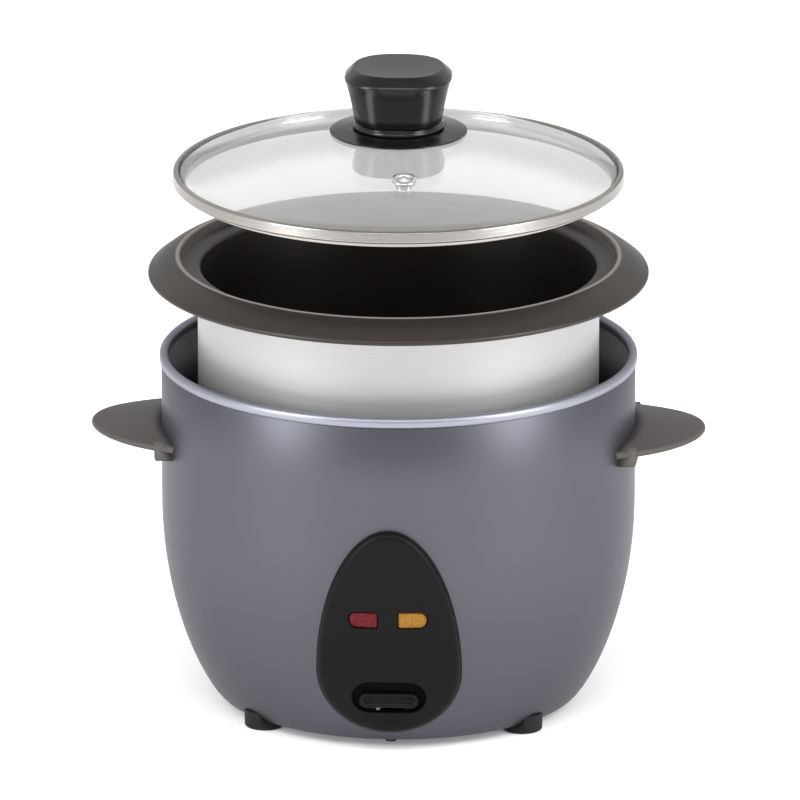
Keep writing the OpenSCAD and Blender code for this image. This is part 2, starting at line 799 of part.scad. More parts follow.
module inlet_pins() {
    color([0.82, 0.80, 0.72]) for (x = [-pin_x, 0, pin_x])
        translate([x, 0, inlet_z + (x == 0 ? pin_step : -pin_step)])
        translate([0, inlet_face - pin_recess - pin_len / 2, 0]) cube([2, pin_len, 4], center = true);
}

// Wire swept along hand-chosen points with eight sides
module wire(path, r) {
    sides = 8;
    n = len(path);
    function along(i) = let (d = path[min(i + 1, n - 1)] - path[max(i - 1, 0)]) d / norm(d);
    function across(i) = let (c = cross(along(i), [0.1, 0.2, 1])) c / norm(c);
    points = [for (i = [0 : n - 1]) let (u = across(i), v = cross(along(i), u))
        for (j = [0 : sides - 1]) path[i] + r * (cos(-360 * j / sides) * u + sin(-360 * j / sides) * v)];
    polyhedron(points = points, faces = tube_faces(n, sides));
}

// Route from the tail of a pin, over and down into the terminal block, on one side
tail_y = inlet_face - pin_recess - pin_len;
wire_r = 1.3;
function wire_path(side) = [
    [side * pin_x, tail_y - 0.7, inlet_z - pin_step], [side * 7.5, tail_y - 4, inlet_z - pin_step],
    [side * 9, block_y + 5, inlet_z - 3], [side * 11, block_y + 1, inlet_z - 6],
    [side * 12, block_y, plate_top + 14], [side * 12, block_y, plate_top + 8]
];

module wire_live() color([0.45, 0.28, 0.16]) wire(wire_path(-1), wire_r);
module wire_neutral() color([0.18, 0.30, 0.62]) wire(wire_path(1), wire_r);

// ---------- inner pot ----------

// Quarter turn of points about a centre, from one angle to another
function turn(c, r, from, to, n) =
    [for (i = [0 : n]) let (a = from + (to - from) * i / n) c + r * [cos(a), sin(a)]];

module inner_pot() {
    w = pot_wall;
    r = pot_corner_r;
    dish_r = cap_r + 8;
    corner = [pot_r - r, pot_low + r];
    edge_r = flange_r - roll_r;
    top_w = 2;
    color([0.80, 0.80, 0.81]) rotate_extrude() polygon(concat(
        [[0, pot_low + sensor_dish], [dish_r - 3, pot_low + sensor_dish], [dish_r, pot_low]],
        turn(corner, r, -90, 0, 10),
        [[pot_r, ledge_z - w - 1], [crest_r - top_w + 1, ledge_z - w],
         [crest_r, crest_z - flange_thick_z], [edge_r - 1, flange_z(edge_r - 1) - flange_thick_z]],
        turn([edge_r, flange_z(edge_r) - roll_r], roll_r, -90, 50, 6),
        [for (i = [3 : -1 : 1]) let (t = i / 4, fr = crest_r + t * (edge_r - crest_r))
            [fr, flange_z(fr) + 4 * flange_bulge * t * (1 - t)]],
        [[crest_r, crest_z], [crest_r - top_w + 1, crest_z - 0.3], [crest_r - top_w, ledge_z],
         [pot_r - w + 0.5, ledge_z - 0.3], [pot_r - w, ledge_z - 1.5]],
        turn(corner, r - w, 0, -90, 10),
        [[dish_r + 1, pot_low + w], [dish_r - 3, pot_low + sensor_dish + w], [0, pot_low + sensor_dish + w]]
    ));
}

// ---------- lid ----------

module lid_glass() {
    color([0.80, 0.88, 0.88, 0.4]) difference() {
        rotate_extrude() intersection() {
            difference() {
                translate([0, dome_mid_z]) circle(r = dome_r, $fn = 360);
                translate([0, dome_mid_z]) circle(r = dome_r - glass_t, $fn = 360);
            }
            translate([0, dome_edge_z - glass_t]) square([glass_r, dome_rise + 2 * glass_t]);
        }
        translate([0, 0, band_top]) cylinder(r = knob_hole_r, h = 2 * dome_rise);
        at_vent() cylinder(r = vent_hole_r, h = 6 * glass_t, center = true);
    }
}

// Frame on the glass's outer face at the vent, with Z along the glass's normal
module at_vent() {
    translate([0, 0, dome_mid_z])
        rotate([asin(vent_y / dome_r), 0, vent_turn]) translate([0, 0, dome_r]) children();
}

module lid_band() {
    slope = 0.4;
    color([0.82, 0.82, 0.84]) difference() {
        rotate_extrude() {
            translate([band_r - band_w, band_low]) square([band_w - 1, band_h]);
            translate([band_r - 2, band_low + 1]) square([2, band_h - 2]);
            translate([crest_r - 5.5, band_low - lip_drop]) square([2, lip_drop + 2]);
        }
        rotate_extrude() intersection() {
            difference() {
                translate([0, dome_mid_z]) circle(r = dome_r + fit_gap, $fn = 360);
                translate([0, dome_mid_z]) circle(r = dome_r - glass_t - fit_gap, $fn = 360);
            }
            translate([0, dome_edge_z - glass_t - slope]) square([glass_r + fit_gap, 3 * glass_t]);
        }
    }
}

module vent_grommet() {
    flange_h = 1.2;
    color([0.85, 0.85, 0.87]) at_vent() difference() {
        union() {
            cylinder(r = vent_r, h = flange_h);
            translate([0, 0, -glass_t - flange_h])
                cylinder(r = vent_hole_r - fit_gap, h = glass_t + flange_h + 0.5);
            translate([0, 0, -glass_t - flange_h - 0.1]) cylinder(r = vent_r - 0.6, h = flange_h - 0.1);
        }
        cylinder(r = vent_hole_r - 1, h = 8 * glass_t, center = true);
    }
}

module knob_skirt() {
    inner = waist_r - 3;
    color([0.10, 0.10, 0.10]) rotate_extrude() polygon([
        [inner, glass_z(inner) + lift_gap], [skirt_r - 1, skirt_z + lift_gap], [skirt_r, skirt_z + 0.6],
        [skirt_r, skirt_z + 1.2], [skirt_r - 2, skirt_z + 1.8], [waist_r + 2, knob_low], [inner, knob_low]
    ]);
}

// Thin slice of the knob with a rounded-square outline
module knob_slice(r, z) {
    outline = [for (a = [0 : 6 : 354]) let (c = cos(a), d = sin(a))
        r * [sign(c) * pow(abs(c), 2 / squareness), sign(d) * pow(abs(d), 2 / squareness)]];
    translate([0, 0, z]) linear_extrude(height = slice_t) polygon(outline);
}

module lid_knob() {
    boss_r = 7;
    neck_z = knob_low + 4;
    levels = [[waist_r, neck_z], [waist_r + 1.8, neck_z + 10], [knob_r - 0.6, knob_top - 6.5],
        [knob_r, knob_top - 5], [knob_r - 5, knob_top - slice_t]];
    color([0.06, 0.06, 0.07]) difference() {
        union() {
            for (i = [0 : len(levels) - 2]) hull() {
                knob_slice(levels[i][0], levels[i][1]);
                knob_slice(levels[i + 1][0], levels[i + 1][1]);
            }
            translate([0, 0, knob_low]) cylinder(r = waist_r + 1, h = 2.6);
            translate([0, 0, knob_low]) cylinder(r = waist_r - 1, h = neck_z - knob_low + slice_t);
            translate([0, 0, glass_z(0)]) cylinder(r = boss_r, h = knob_low - glass_z(0) + 1);
        }
        translate([0, 0, knob_top + dish_ball_r - dish_depth]) sphere(r = dish_ball_r);
        translate([0, 0, glass_z(0) - past]) cylinder(r = knob_screw_r, h = 14 + past);
    }
}

module knob_washer() {
    under = glass_z(0) - glass_t;
    color([0.78, 0.78, 0.80]) ring(9, knob_screw_r + fit_gap, under - 1.6, under - 0.15);
}

module knob_screw() {
    under = glass_z(0) - glass_t - 1.6;
    color([0.80, 0.80, 0.82]) {
        translate([0, 0, under - 2.6]) cylinder(r = 4.6, h = 2.6);
        translate([0, 0, under - 1]) cylinder(r = knob_screw_r - fit_gap, h = glass_t + 13);
    }
}

// ---------- drawing ----------

outer_shell();
top_rim();
inner_liner();
base_plate();
base_screws();
foot_front_left();
foot_front_right();
foot_rear_left();
foot_rear_right();
handle_left();
handle_right();
handle_screws();
control_panel();
panel_clips();
cook_lens();
warm_lens();
cook_lamp();
warm_lamp();
lamp_holder();
heater_plate();
heating_element();
heater_posts();
heater_screws();
sensor_guide();
sensor_cap();
sensor_ferrite();
sensor_spring();
switch_frame();
pivot_pin();
switch_lever();
switch_button();
magnet_holder();
magnet();
microswitch();
keep_warm_heater();
thermal_fuse();
terminal_block();
inlet_housing();
inlet_pins();
wire_live();
wire_neutral();
inner_pot();
lid_glass();
lid_band();
vent_grommet();
lid_knob();
knob_skirt();
knob_screw();
knob_washer();
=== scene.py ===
"""Drum rice cooker with its pot and glass lid held above the base: looks, light and camera."""
import math

import bmesh
import bpy
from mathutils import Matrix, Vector
from mathutils.geometry import delaunay_2d_cdt


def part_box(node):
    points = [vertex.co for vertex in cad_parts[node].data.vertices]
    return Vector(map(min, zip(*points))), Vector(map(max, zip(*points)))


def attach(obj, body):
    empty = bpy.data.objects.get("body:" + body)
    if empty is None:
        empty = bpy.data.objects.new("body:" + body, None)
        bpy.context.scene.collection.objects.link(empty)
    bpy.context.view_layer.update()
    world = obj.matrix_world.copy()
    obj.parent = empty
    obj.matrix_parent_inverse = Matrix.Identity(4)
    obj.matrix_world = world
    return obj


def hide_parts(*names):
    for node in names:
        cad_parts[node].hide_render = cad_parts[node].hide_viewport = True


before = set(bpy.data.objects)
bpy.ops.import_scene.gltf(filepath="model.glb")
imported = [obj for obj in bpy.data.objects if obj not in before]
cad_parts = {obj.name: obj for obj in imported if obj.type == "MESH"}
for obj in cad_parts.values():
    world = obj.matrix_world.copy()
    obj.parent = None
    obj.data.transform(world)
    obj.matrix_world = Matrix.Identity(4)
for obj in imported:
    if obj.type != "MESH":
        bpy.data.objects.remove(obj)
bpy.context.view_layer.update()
scene = bpy.context.scene
MM = 0.001


# ---------- sizes, in millimetres ----------

BODY_R = 124.5
SHELL_TOP = 184.0
SHELL_WALL = 1.2
BOWL_TOP = 110.0
BOWL_FOOT_R = 95.0
BOWL_POWER = 0.8
FOOT_H = 4.5
FOOT_R = 10.8
LIP_R = 85.0
LEVER_SLOT_HALF = 7.0
LEVER_SLOT_LOW = 24.1
LEVER_SLOT_HIGH = 37.0
INLET_STEP = 3.2
RIM_BEAD_R = 2.3
RIM_MID_R = 123.2
LINER_WALL = 1.0
CHAMBER_IN = 12.5
HANDLE_ROOT = 80.0
HANDLE_HALF = 43.6
HANDLE_T = 3.6
PANEL_T = 5.0
PANEL_HALF_W = 38.0
PANEL_LOW = 11.0
PANEL_MID = 48.0
PANEL_HIGH = 128.0
LENS_X = 12.9
LENS_Z = 80.0
LENS_W = 15.0
LENS_H = 8.6
POT_WALL = 1.6
POT_R = 105.3
POT_CORNER_R = 24.0
CREST_R = 116.0
CREST_RISE = 5.0
FLANGE_DROP = 9.0
FLANGE_R = 131.3
GLASS_T = 4.0
VENT_OUT = 69.0
VENT_TURN = math.radians(4.9)
SKIRT_R = 36.0
WAIST_R = 22.8
KNOB_R = 28.2


def low(node):
    """Lowest corner of a CAD node, in millimetres."""
    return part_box(node)[0] / MM


def high(node):
    """Highest corner of a CAD node, in millimetres."""
    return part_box(node)[1] / MM


# ---------- shader nodes ----------

class Value:
    """One output of a shader node. Arithmetic on it adds Math nodes to the same tree."""

    def __init__(self, nodes, socket):
        self.nodes = nodes
        self.socket = socket

    def _math(self, operation, a, b):
        return self.nodes.node("ShaderNodeMath", {"operation": operation}, {0: a, 1: b})

    def __add__(self, other):
        return self._math("ADD", self, other)

    def __radd__(self, other):
        return self._math("ADD", other, self)

    def __sub__(self, other):
        return self._math("SUBTRACT", self, other)

    def __rsub__(self, other):
        return self._math("SUBTRACT", other, self)

    def __mul__(self, other):
        return self._math("MULTIPLY", self, other)

    def __rmul__(self, other):
        return self._math("MULTIPLY", other, self)


class Nodes:
    """A shader node tree with short ways to add to it."""

    def __init__(self, tree):
        self.tree = tree
        tree.nodes.clear()

    def node(self, kind, settings=None, inputs=None, output=0):
        """A node of that kind, its settings set first and then its sockets. Gives one of its outputs."""
        made = self.tree.nodes.new(kind)
        for key, setting in (settings or {}).items():
            if key == "stops":
                self._stops(made.color_ramp, setting)
            else:
                setattr(made, key, setting)
        for key, given in (inputs or {}).items():
            self.feed(made.inputs[key], given)
        return Value(self, made.outputs[output])

    def _stops(self, ramp, stops):
        while len(ramp.elements) < len(stops):
            ramp.elements.new(0.5)
        for element, (place, colour) in zip(ramp.elements, stops):
            element.position = place
            element.color = colour if len(colour) == 4 else (*colour, 1.0)

    def feed(self, socket, given):
        """Links a Value to the socket, or sets the socket to a number or colour."""
        if isinstance(given, Value):
            self.tree.links.new(given.socket, socket)
            return
        if hasattr(socket.default_value, "__len__") and not hasattr(given, "__len__"):
            given = [given] * len(socket.default_value)
        if hasattr(given, "__len__") and len(given) == 3 and len(socket.default_value) == 4:
            given = (*given, 1.0)
        socket.default_value = given

    def place(self, stretch=(1, 1, 1)):
        """The point on the piece in metres, each axis times its stretch."""
        point = self.node("ShaderNodeTexCoord", output="Object")
        return self.node("ShaderNodeVectorMath", {"operation": "MULTIPLY"}, {0: point, 1: stretch})

    def axis(self, name):
        """One coordinate of the point on the piece, in metres."""
        return self.node("ShaderNodeSeparateXYZ", None, {0: self.place()}, name)

    def around(self):
        """The angle around the Z axis and the radius from it, as two values."""
        x = self.axis("X")
        y = self.axis("Y")
        angle = x._math("ARCTAN2", y, x)
        radius = x._math("SQRT", x * x + y * y, 0.0)
        return angle, radius

    def noise(self, scale, detail=3.0, stretch=(1, 1, 1), vector=None):
        """Soft random values from 0 to 1, scale in bumps per metre."""
        where = vector or self.place(stretch)
        return self.node("ShaderNodeTexNoise", None, {"Vector": where, "Scale": scale, "Detail": detail})

    def point(self, x, y, z):
        """A vector made of three values."""
        return self.node("ShaderNodeCombineXYZ", None, {0: x, 1: y, 2: z})

    def span(self, value, from_low, from_high, to_low=0.0, to_high=1.0, curve="SMOOTHSTEP"):
        """The value taken from one span to another, held at its ends."""
        settings = {"interpolation_type": curve, "clamp": True}
        sockets = {0: value, 1: from_low, 2: from_high, 3: to_low, 4: to_high}
        return self.node("ShaderNodeMapRange", settings, sockets)

    def mix(self, factor, a, b):
        """Colour a where factor is 0, and b where it is 1."""
        return self.node("ShaderNodeMix", {"data_type": "RGBA"}, {0: factor, 6: a, 7: b}, 2)

    def bump(self, height, depth, under=None):
        """A normal from a height of 0 to 1, depth in metres."""
        sockets = {"Height": height, "Strength": 1.0, "Distance": depth}
        if under is not None:
            sockets["Normal"] = under
        return self.node("ShaderNodeBump", None, sockets)


class Finish(Nodes):
    """A material with one Principled surface."""

    def __init__(self, name, **fixed):
        self.material = bpy.data.materials.new(name)
        self.material.use_nodes = True
        super().__init__(self.material.node_tree)
        self.surface = self.tree.nodes.new("ShaderNodeBsdfPrincipled")
        output = self.tree.nodes.new("ShaderNodeOutputMaterial")
        self.tree.links.new(self.surface.outputs[0], output.inputs[0])
        for key, given in fixed.items():
            self.set(key.replace("_", " ").title().replace("Ior", "IOR"), given)

    def set(self, socket, given):
        self.feed(self.surface.inputs[socket], given)

    def sharp_edge_mask(self):
        """1 on sharp convex edges and 0 elsewhere."""
        pointed = self.node("ShaderNodeNewGeometry", output="Pointiness")
        return self.span(pointed, 0.52, 0.6)


# ---------- finishes ----------

def shell_paint(name="shell_paint", painted_highlight_gain=1.0):
    """Satin metallic grey paint with a fine flake and a faint orange peel; a colour gain above one makes a
    lighter copy, a painted highlight.
    """
    f = Finish(name, metallic=0.85, coat_weight=0.02, coat_roughness=0.25, specular_ior_level=0.2,
               specular_tint=(0.8, 0.8, 0.82))
    flake = f.noise(9000.0, 1.0)
    cloud = f.noise(14.0, 2.0)
    # Every colour is scaled by the gain: above one it is a painted highlight, not a different paint.
    dark = tuple(c * painted_highlight_gain for c in (0.074, 0.075, 0.088))
    light = tuple(c * painted_highlight_gain for c in (0.093, 0.094, 0.110))
    shade = f.mix(f.span(flake, 0.35, 0.65), dark, light)
    f.set("Base Color", f.mix(cloud * 0.25, shade, tuple(c * painted_highlight_gain for c in (0.098, 0.098, 0.115))))
    f.set("Roughness", 0.36 + flake * 0.06 + cloud * 0.04)
    peel = f.noise(420.0, 2.0)
    f.set("Normal", f.bump(peel, 0.00003, f.bump(flake, 0.000008)))
    return f.material


def chamber_metal():
    """Dark blue-grey painted sheet inside the base, with faint drawing lines."""
    f = Finish("chamber_metal", metallic=0.6)
    angle, radius = f.around()
    lines = f.noise(1.0, 3.0, vector=f.point(angle * 2.0, radius * 900.0, f.axis("Z") * 900.0))
    f.set("Base Color", f.mix(lines, (0.026, 0.027, 0.033), (0.044, 0.046, 0.054)))
    f.set("Roughness", 0.38 + lines * 0.12)
    f.set("Normal", f.bump(lines, 0.00002))
    return f.material


def zinc_sheet():
    """Galvanised sheet with a soft spangle."""
    f = Finish("zinc_sheet", metallic=0.9)
    sockets = {"Vector": f.place(), "Scale": 160.0}
    cells = f.node("ShaderNodeTexVoronoi", {"feature": "F1"}, sockets, "Color")
    tone = f.node("ShaderNodeSeparateColor", None, {0: cells}, 0)
    f.set("Base Color", f.mix(tone, (0.42, 0.43, 0.45), (0.56, 0.57, 0.58)))
    f.set("Roughness", 0.34 + tone * 0.16)
    f.set("Normal", f.bump(f.noise(300.0, 3.0), 0.00002))
    return f.material


def pot_outside():
    """Satin aluminium with fine lines around it from spinning."""
    f = Finish("pot_outside", metallic=0.62)
    angle, radius = f.around()
    lines = f.noise(1.0, 4.0, vector=f.point(angle * 1.5, radius * 600.0, f.axis("Z") * 1600.0))
    cloud = f.noise(20.0, 2.0)
    f.set("Base Color", f.mix(lines, (0.37, 0.37, 0.375), (0.44, 0.44, 0.445)))
    f.set("Roughness", 0.42 + lines * 0.10 + cloud * 0.05)
    f.set("Normal", f.bump(lines, 0.00003))
    return f.material


def pot_coating():
    """Warm charcoal non-stick coating with fine speckle and a faint sheen, a painted highlight along the
    crest of the mouth and painted shade inside the pot.
    """
    f = Finish("pot_coating", coat_weight=0.06, coat_roughness=0.3, specular_ior_level=0.42,
               coat_tint=(1.0, 0.9, 0.84), specular_tint=(1.0, 0.92, 0.87))
    grain = f.noise(2600.0, 2.0)
    cloud = f.noise(30.0, 3.0)
    dark = f.mix(f.span(grain, 0.58, 0.72), (0.0095, 0.0075, 0.0062), (0.020, 0.0165, 0.0145))
    # Painted shade: below the mouth the coating turns near black, standing in for the shade inside the pot.
    deep = f.span(f.axis("Z"), 0.222, 0.2355)
    # Painted highlight: a thin lighter band on the crest of the mouth stands in for the light its rounded
    # edge catches.
    radius = f.around()[1]
    inward = f.span(radius, CREST_R * MM - 0.0022, CREST_R * MM - 0.0012)
    outward = f.span(radius, CREST_R * MM + 0.0004, CREST_R * MM + 0.0014, 1.0, 0.0)
    crest_highlight_band = inward * outward
    crest_painted_highlight = f.mix(crest_highlight_band * 0.8, dark, (0.20, 0.185, 0.175))
    f.set("Base Color", f.mix(deep, (0.006, 0.0045, 0.0035), crest_painted_highlight))
    f.set("Roughness", 0.34 + grain * 0.10 + cloud * 0.08)
    f.set("Normal", f.bump(grain, 0.00003))
    return f.material


def clear_glass():
    """Tempered glass that mirrors the bright room at a low angle, with faint smears."""
    f = Finish("clear_glass", metallic=0.88, ior=1.5)
    smear = f.noise(26.0, 3.0)
    f.set("Base Color", f.mix(smear, (0.60, 0.605, 0.60), (0.66, 0.665, 0.66)))
    f.set("Roughness", 0.035 + smear * 0.03)
    f.set("Alpha", 0.49 + smear * 0.04)
    f.set("Normal", f.bump(f.noise(40.0, 1.0), 0.00002))
    return f.material


def band_steel():
    """Stainless steel brushed around the lid."""
    f = Finish("band_steel", metallic=1.0)
    angle, radius = f.around()
    brush = f.noise(1.0, 5.0, vector=f.point(angle * 6.0, radius * 4000.0, f.axis("Z") * 5000.0))
    f.set("Base Color", f.mix(brush, (0.25, 0.24, 0.225), (0.38, 0.36, 0.345)))
    f.set("Roughness", 0.18 + brush * 0.16)
    f.set("Normal", f.bump(brush, 0.00003))
    return f.material


def screw_steel(name, dark, light):
    """Plated steel of screws, pins and the vent, with fine scuffs."""
    f = Finish(name, metallic=1.0)
    scuff = f.noise(700.0, 4.0, (1, 1, 3))
    f.set("Base Color", f.mix(scuff, dark, light))
    f.set("Roughness", 0.14 + scuff * 0.18)
    f.set("Normal", f.bump(scuff, 0.00002))
    return f.material


def knob_gloss():
    """Glossy black phenolic with a soft swirl and brighter edges."""
    f = Finish("knob_gloss", coat_weight=0.12, coat_roughness=0.06, specular_ior_level=0.25)
    swirl = f.noise(90.0, 3.0)
    edge = f.sharp_edge_mask()
    f.set("Base Color", f.mix(edge * 0.4, (0.005, 0.005, 0.0055), (0.03, 0.03, 0.032)))
    f.set("Roughness", 0.20 + swirl * 0.12)
    f.set("Normal", f.bump(f.noise(500.0, 2.0), 0.00002))
    return f.material


def knob_matte():
    """Fine-grained matte black of the knob's dished top."""
    f = Finish("knob_matte", specular_ior_level=0.4)
    grain = f.noise(2400.0, 2.0)
    f.set("Base Color", f.mix(grain, (0.030, 0.030, 0.028), (0.048, 0.048, 0.045)))
    f.set("Roughness", 0.46 + grain * 0.12)
    f.set("Normal", f.bump(grain, 0.00006))
    return f.material


def handle_plastic():
    """Warm dark grey moulded plastic with a fine spark-eroded grain."""
    f = Finish("handle_plastic", specular_ior_level=0.3)
    grain = f.noise(1900.0, 2.0)
    cloud = f.noise(35.0, 2.0)
    edge = f.sharp_edge_mask()
    shade = f.mix(grain, (0.043, 0.038, 0.036), (0.066, 0.059, 0.056))
    f.set("Base Color", f.mix(edge * 0.3, shade, (0.10, 0.09, 0.085)))
    f.set("Roughness", 0.44 + grain * 0.10 + cloud * 0.08)
    f.set("Normal", f.bump(grain, 0.00008))
    return f.material


def panel_plastic(name="panel_plastic", rough=0.36, sheen=0.07):
    """Black moulded plastic with a light texture."""
    f = Finish(name, coat_weight=sheen * 0.3, coat_roughness=0.2, specular_ior_level=sheen)
    grain = f.noise(1700.0, 2.0)
    cloud = f.noise(30.0, 2.0)
    f.set("Base Color", f.mix(grain, (0.0035, 0.0033, 0.0033), (0.0065, 0.0061, 0.006)))
    f.set("Roughness", rough + grain * 0.08 + cloud * 0.06)
    f.set("Normal", f.bump(grain, 0.00004))
    return f.material


def lens_plastic(name, deep, bright):
    """Clear coloured plastic with fine cut prisms, brighter through the thin parts, with a faint painted
    glow.
    """
    f = Finish(name, coat_weight=0.04, coat_roughness=0.1, specular_ior_level=0.12)
    sockets = {"Vector": f.place(), "Scale": 900.0}
    prism = f.node("ShaderNodeTexVoronoi", {"feature": "F1"}, sockets, "Distance")
    glow = f.noise(160.0, 1.0)
    tone = f.mix(f.span(prism, 0.0, 0.7), bright, deep)
    f.set("Base Color", f.mix(glow * 0.4, tone, bright))
    # Painted glow: the lens gives off a little light of its own, though it is no lamp.
    f.set("Emission Color", tone)
    f.surface.inputs["Emission Strength"].default_value = 0.04
    f.set("Roughness", 0.18 + prism * 0.2)
    f.set("Normal", f.bump(prism, 0.00012))
    return f.material


def foot_rubber():
    """Matte black rubber with a mould grain."""
    f = Finish("foot_rubber", specular_ior_level=0.2)
    grain = f.noise(1400.0, 3.0)
    f.set("Base Color", f.mix(grain, (0.006, 0.006, 0.0065), (0.013, 0.013, 0.014)))
    f.set("Roughness", 0.55 + grain * 0.15)
    f.set("Normal", f.bump(grain, 0.00008))
    return f.material


def cast_aluminium():
    """Cast aluminium turned on its face, with rings from the tool."""
    f = Finish("cast_aluminium", metallic=0.9)
    radius = f.around()[1]
    rings = f.noise(1.0, 2.0, vector=f.point(radius * 1500.0, 0.0, f.axis("Z") * 60.0))
    stain = f.noise(24.0, 4.0)
    f.set("Base Color", f.mix(stain, (0.50, 0.50, 0.50), (0.66, 0.67, 0.68)))
    f.set("Roughness", 0.28 + rings * 0.16 + stain * 0.08)
    f.set("Normal", f.bump(rings, 0.00006))
    return f.material


def heated_steel():
    """Element sheath darkened by heat, with brown and blue tints."""
    f = Finish("heated_steel", metallic=0.8)
    tint = f.noise(45.0, 3.0)
    stops = [(0.3, (0.10, 0.09, 0.09)), (0.55, (0.16, 0.12, 0.09)), (0.75, (0.09, 0.10, 0.14))]
    f.set("Base Color", f.node("ShaderNodeValToRGB", {"stops": stops}, {0: tint}))
    f.set("Roughness", 0.40 + tint * 0.2)
    f.set("Normal", f.bump(f.noise(900.0, 3.0), 0.00003))
    return f.material


def insulator():
    """Cream moulded insulator."""
    f = Finish("insulator")
    grain = f.noise(800.0, 3.0)
    f.set("Base Color", f.mix(grain, (0.62, 0.58, 0.48), (0.74, 0.71, 0.62)))
    f.set("Roughness", 0.50 + grain * 0.15)
    f.set("Normal", f.bump(grain, 0.00004))
    return f.material


def ferrite():
    """Grey-black sintered ferrite with small pits."""
    f = Finish("ferrite")
    pits = f.noise(1600.0, 4.0)
    f.set("Base Color", f.mix(pits, (0.030, 0.030, 0.034), (0.060, 0.060, 0.064)))
    f.set("Roughness", 0.35 + pits * 0.25)
    f.set("Normal", f.bump(pits, 0.00006))
    return f.material


def contact_brass():
    """Bright brass with faint tarnish."""
    f = Finish("contact_brass", metallic=1.0)
    tarnish = f.noise(220.0, 4.0)
    f.set("Base Color", f.mix(tarnish, (0.60, 0.44, 0.18), (0.80, 0.66, 0.34)))
    f.set("Roughness", 0.18 + tarnish * 0.22)
    f.set("Normal", f.bump(tarnish, 0.00002))
    return f.material


def wire_sheath(name, dark, light):
    """Soft cable sheath with faint rings from extrusion."""
    f = Finish(name)
    grain = f.noise(900.0, 3.0)
    f.set("Base Color", f.mix(grain, dark, light))
    f.set("Roughness", 0.42 + grain * 0.15)
    f.set("Normal", f.bump(grain, 0.00004))
    return f.material


def lamp_glass():
    """Small neon lamp: warm glass over a pale electrode."""
    f = Finish("lamp_glass", coat_weight=0.6, coat_roughness=0.05)
    core = f.noise(600.0, 2.0)
    f.set("Base Color", f.mix(core, (0.80, 0.60, 0.50), (0.95, 0.86, 0.78)))
    f.set("Roughness", 0.10 + core * 0.15)
    f.set("Normal", f.bump(core, 0.00002))
    return f.material


PAINT = shell_paint()
# The rim takes the body paint made 3.1 times lighter: a painted highlight along the rolled bead.
RIM_PAINTED_HIGHLIGHT = shell_paint("rim_paint_painted_highlight", 3.1)
CHAMBER = chamber_metal()
ZINC = zinc_sheet()
POT_OUT = pot_outside()
COATING = pot_coating()
GLASS = clear_glass()
BAND = band_steel()
STEEL = screw_steel("bright_steel", (0.56, 0.56, 0.56), (0.74, 0.73, 0.72))
BLACKED = screw_steel("blacked_steel", (0.020, 0.020, 0.022), (0.045, 0.045, 0.048))
GLOSS = knob_gloss()
MATTE = knob_matte()
HANDLE = handle_plastic()
PANEL = panel_plastic()
SWITCH = panel_plastic("switch_plastic", 0.22)
# Painted shade: a copy of the panel plastic with almost no gloss, so the switch recess looks dark as if in
# shade.
RECESS_PAINTED_SHADE = panel_plastic("recess_plastic_painted_shade", 0.5, 0.01)
RED = lens_plastic("cook_red", (0.050, 0.002, 0.005), (0.13, 0.010, 0.016))
AMBER = lens_plastic("warm_amber", (0.17, 0.076, 0.008), (0.28, 0.14, 0.024))
RUBBER = foot_rubber()
CAST = cast_aluminium()
HOT = heated_steel()
CREAM = insulator()
FERRITE = ferrite()
BRASS = contact_brass()
BROWN = wire_sheath("wire_brown", (0.12, 0.05, 0.02), (0.20, 0.09, 0.04))
BLUE = wire_sheath("wire_blue", (0.02, 0.06, 0.30), (0.04, 0.11, 0.42))
NEON = lamp_glass()


# ---------- mesh helpers; points are in millimetres ----------

def add_object(name, mesh, body, slot, *replaced):
    """Puts a finished mesh in the scene, riding on its body and standing for its CAD nodes."""
    obj = bpy.data.objects.new(name, mesh)
    scene.collection.objects.link(obj)
    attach(obj, body)
    if replaced:
        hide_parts(*replaced)
    return obj


def to_mesh(name, points, faces, materials, face_slots=None):
    """A smooth, welded mesh from points in millimetres."""
    mesh = bpy.data.meshes.new(name)
    mesh.from_pydata([Vector(p) * MM for p in points], [], faces)
    for material in materials:
        mesh.materials.append(material)
    if face_slots:
        mesh.polygons.foreach_set("material_index", face_slots)
    work = bmesh.new()
    work.from_mesh(mesh)
    bmesh.ops.remove_doubles(work, verts=work.verts, dist=1e-6)
    bmesh.ops.dissolve_degenerate(work, edges=work.edges, dist=1e-7)
    bmesh.ops.recalc_face_normals(work, faces=work.faces)
    for face in work.faces:
        face.smooth = True
    work.to_mesh(mesh)
    work.free()
    return mesh


def skin_rings(rings, looped=False, capped=True):
    """Points and faces of a surface over closed rings of equal count."""
    count = len(rings[0])
    points = [p for ring in rings for p in ring]
    faces = []
    pairs = len(rings) if looped else len(rings) - 1
    for i in range(pairs):
        a = i * count
        b = (i + 1) % len(rings) * count
        for j in range(count):
            k = (j + 1) % count
            faces.append((a + j, a + k, b + k, b + j))
    if capped and not looped:
        faces.append(tuple(reversed(range(count))))
        last = (len(rings) - 1) * count
        faces.append(tuple(range(last, last + count)))
    return points, faces


def arc(x, z, r, start, end, steps=6):
    """Points of an arc about (x, z) from one angle to another, in degrees."""
    return [(x + r * math.cos(math.radians(start + (end - start) * i / steps)),
             z + r * math.sin(math.radians(start + (end - start) * i / steps))) for i in range(steps + 1)]


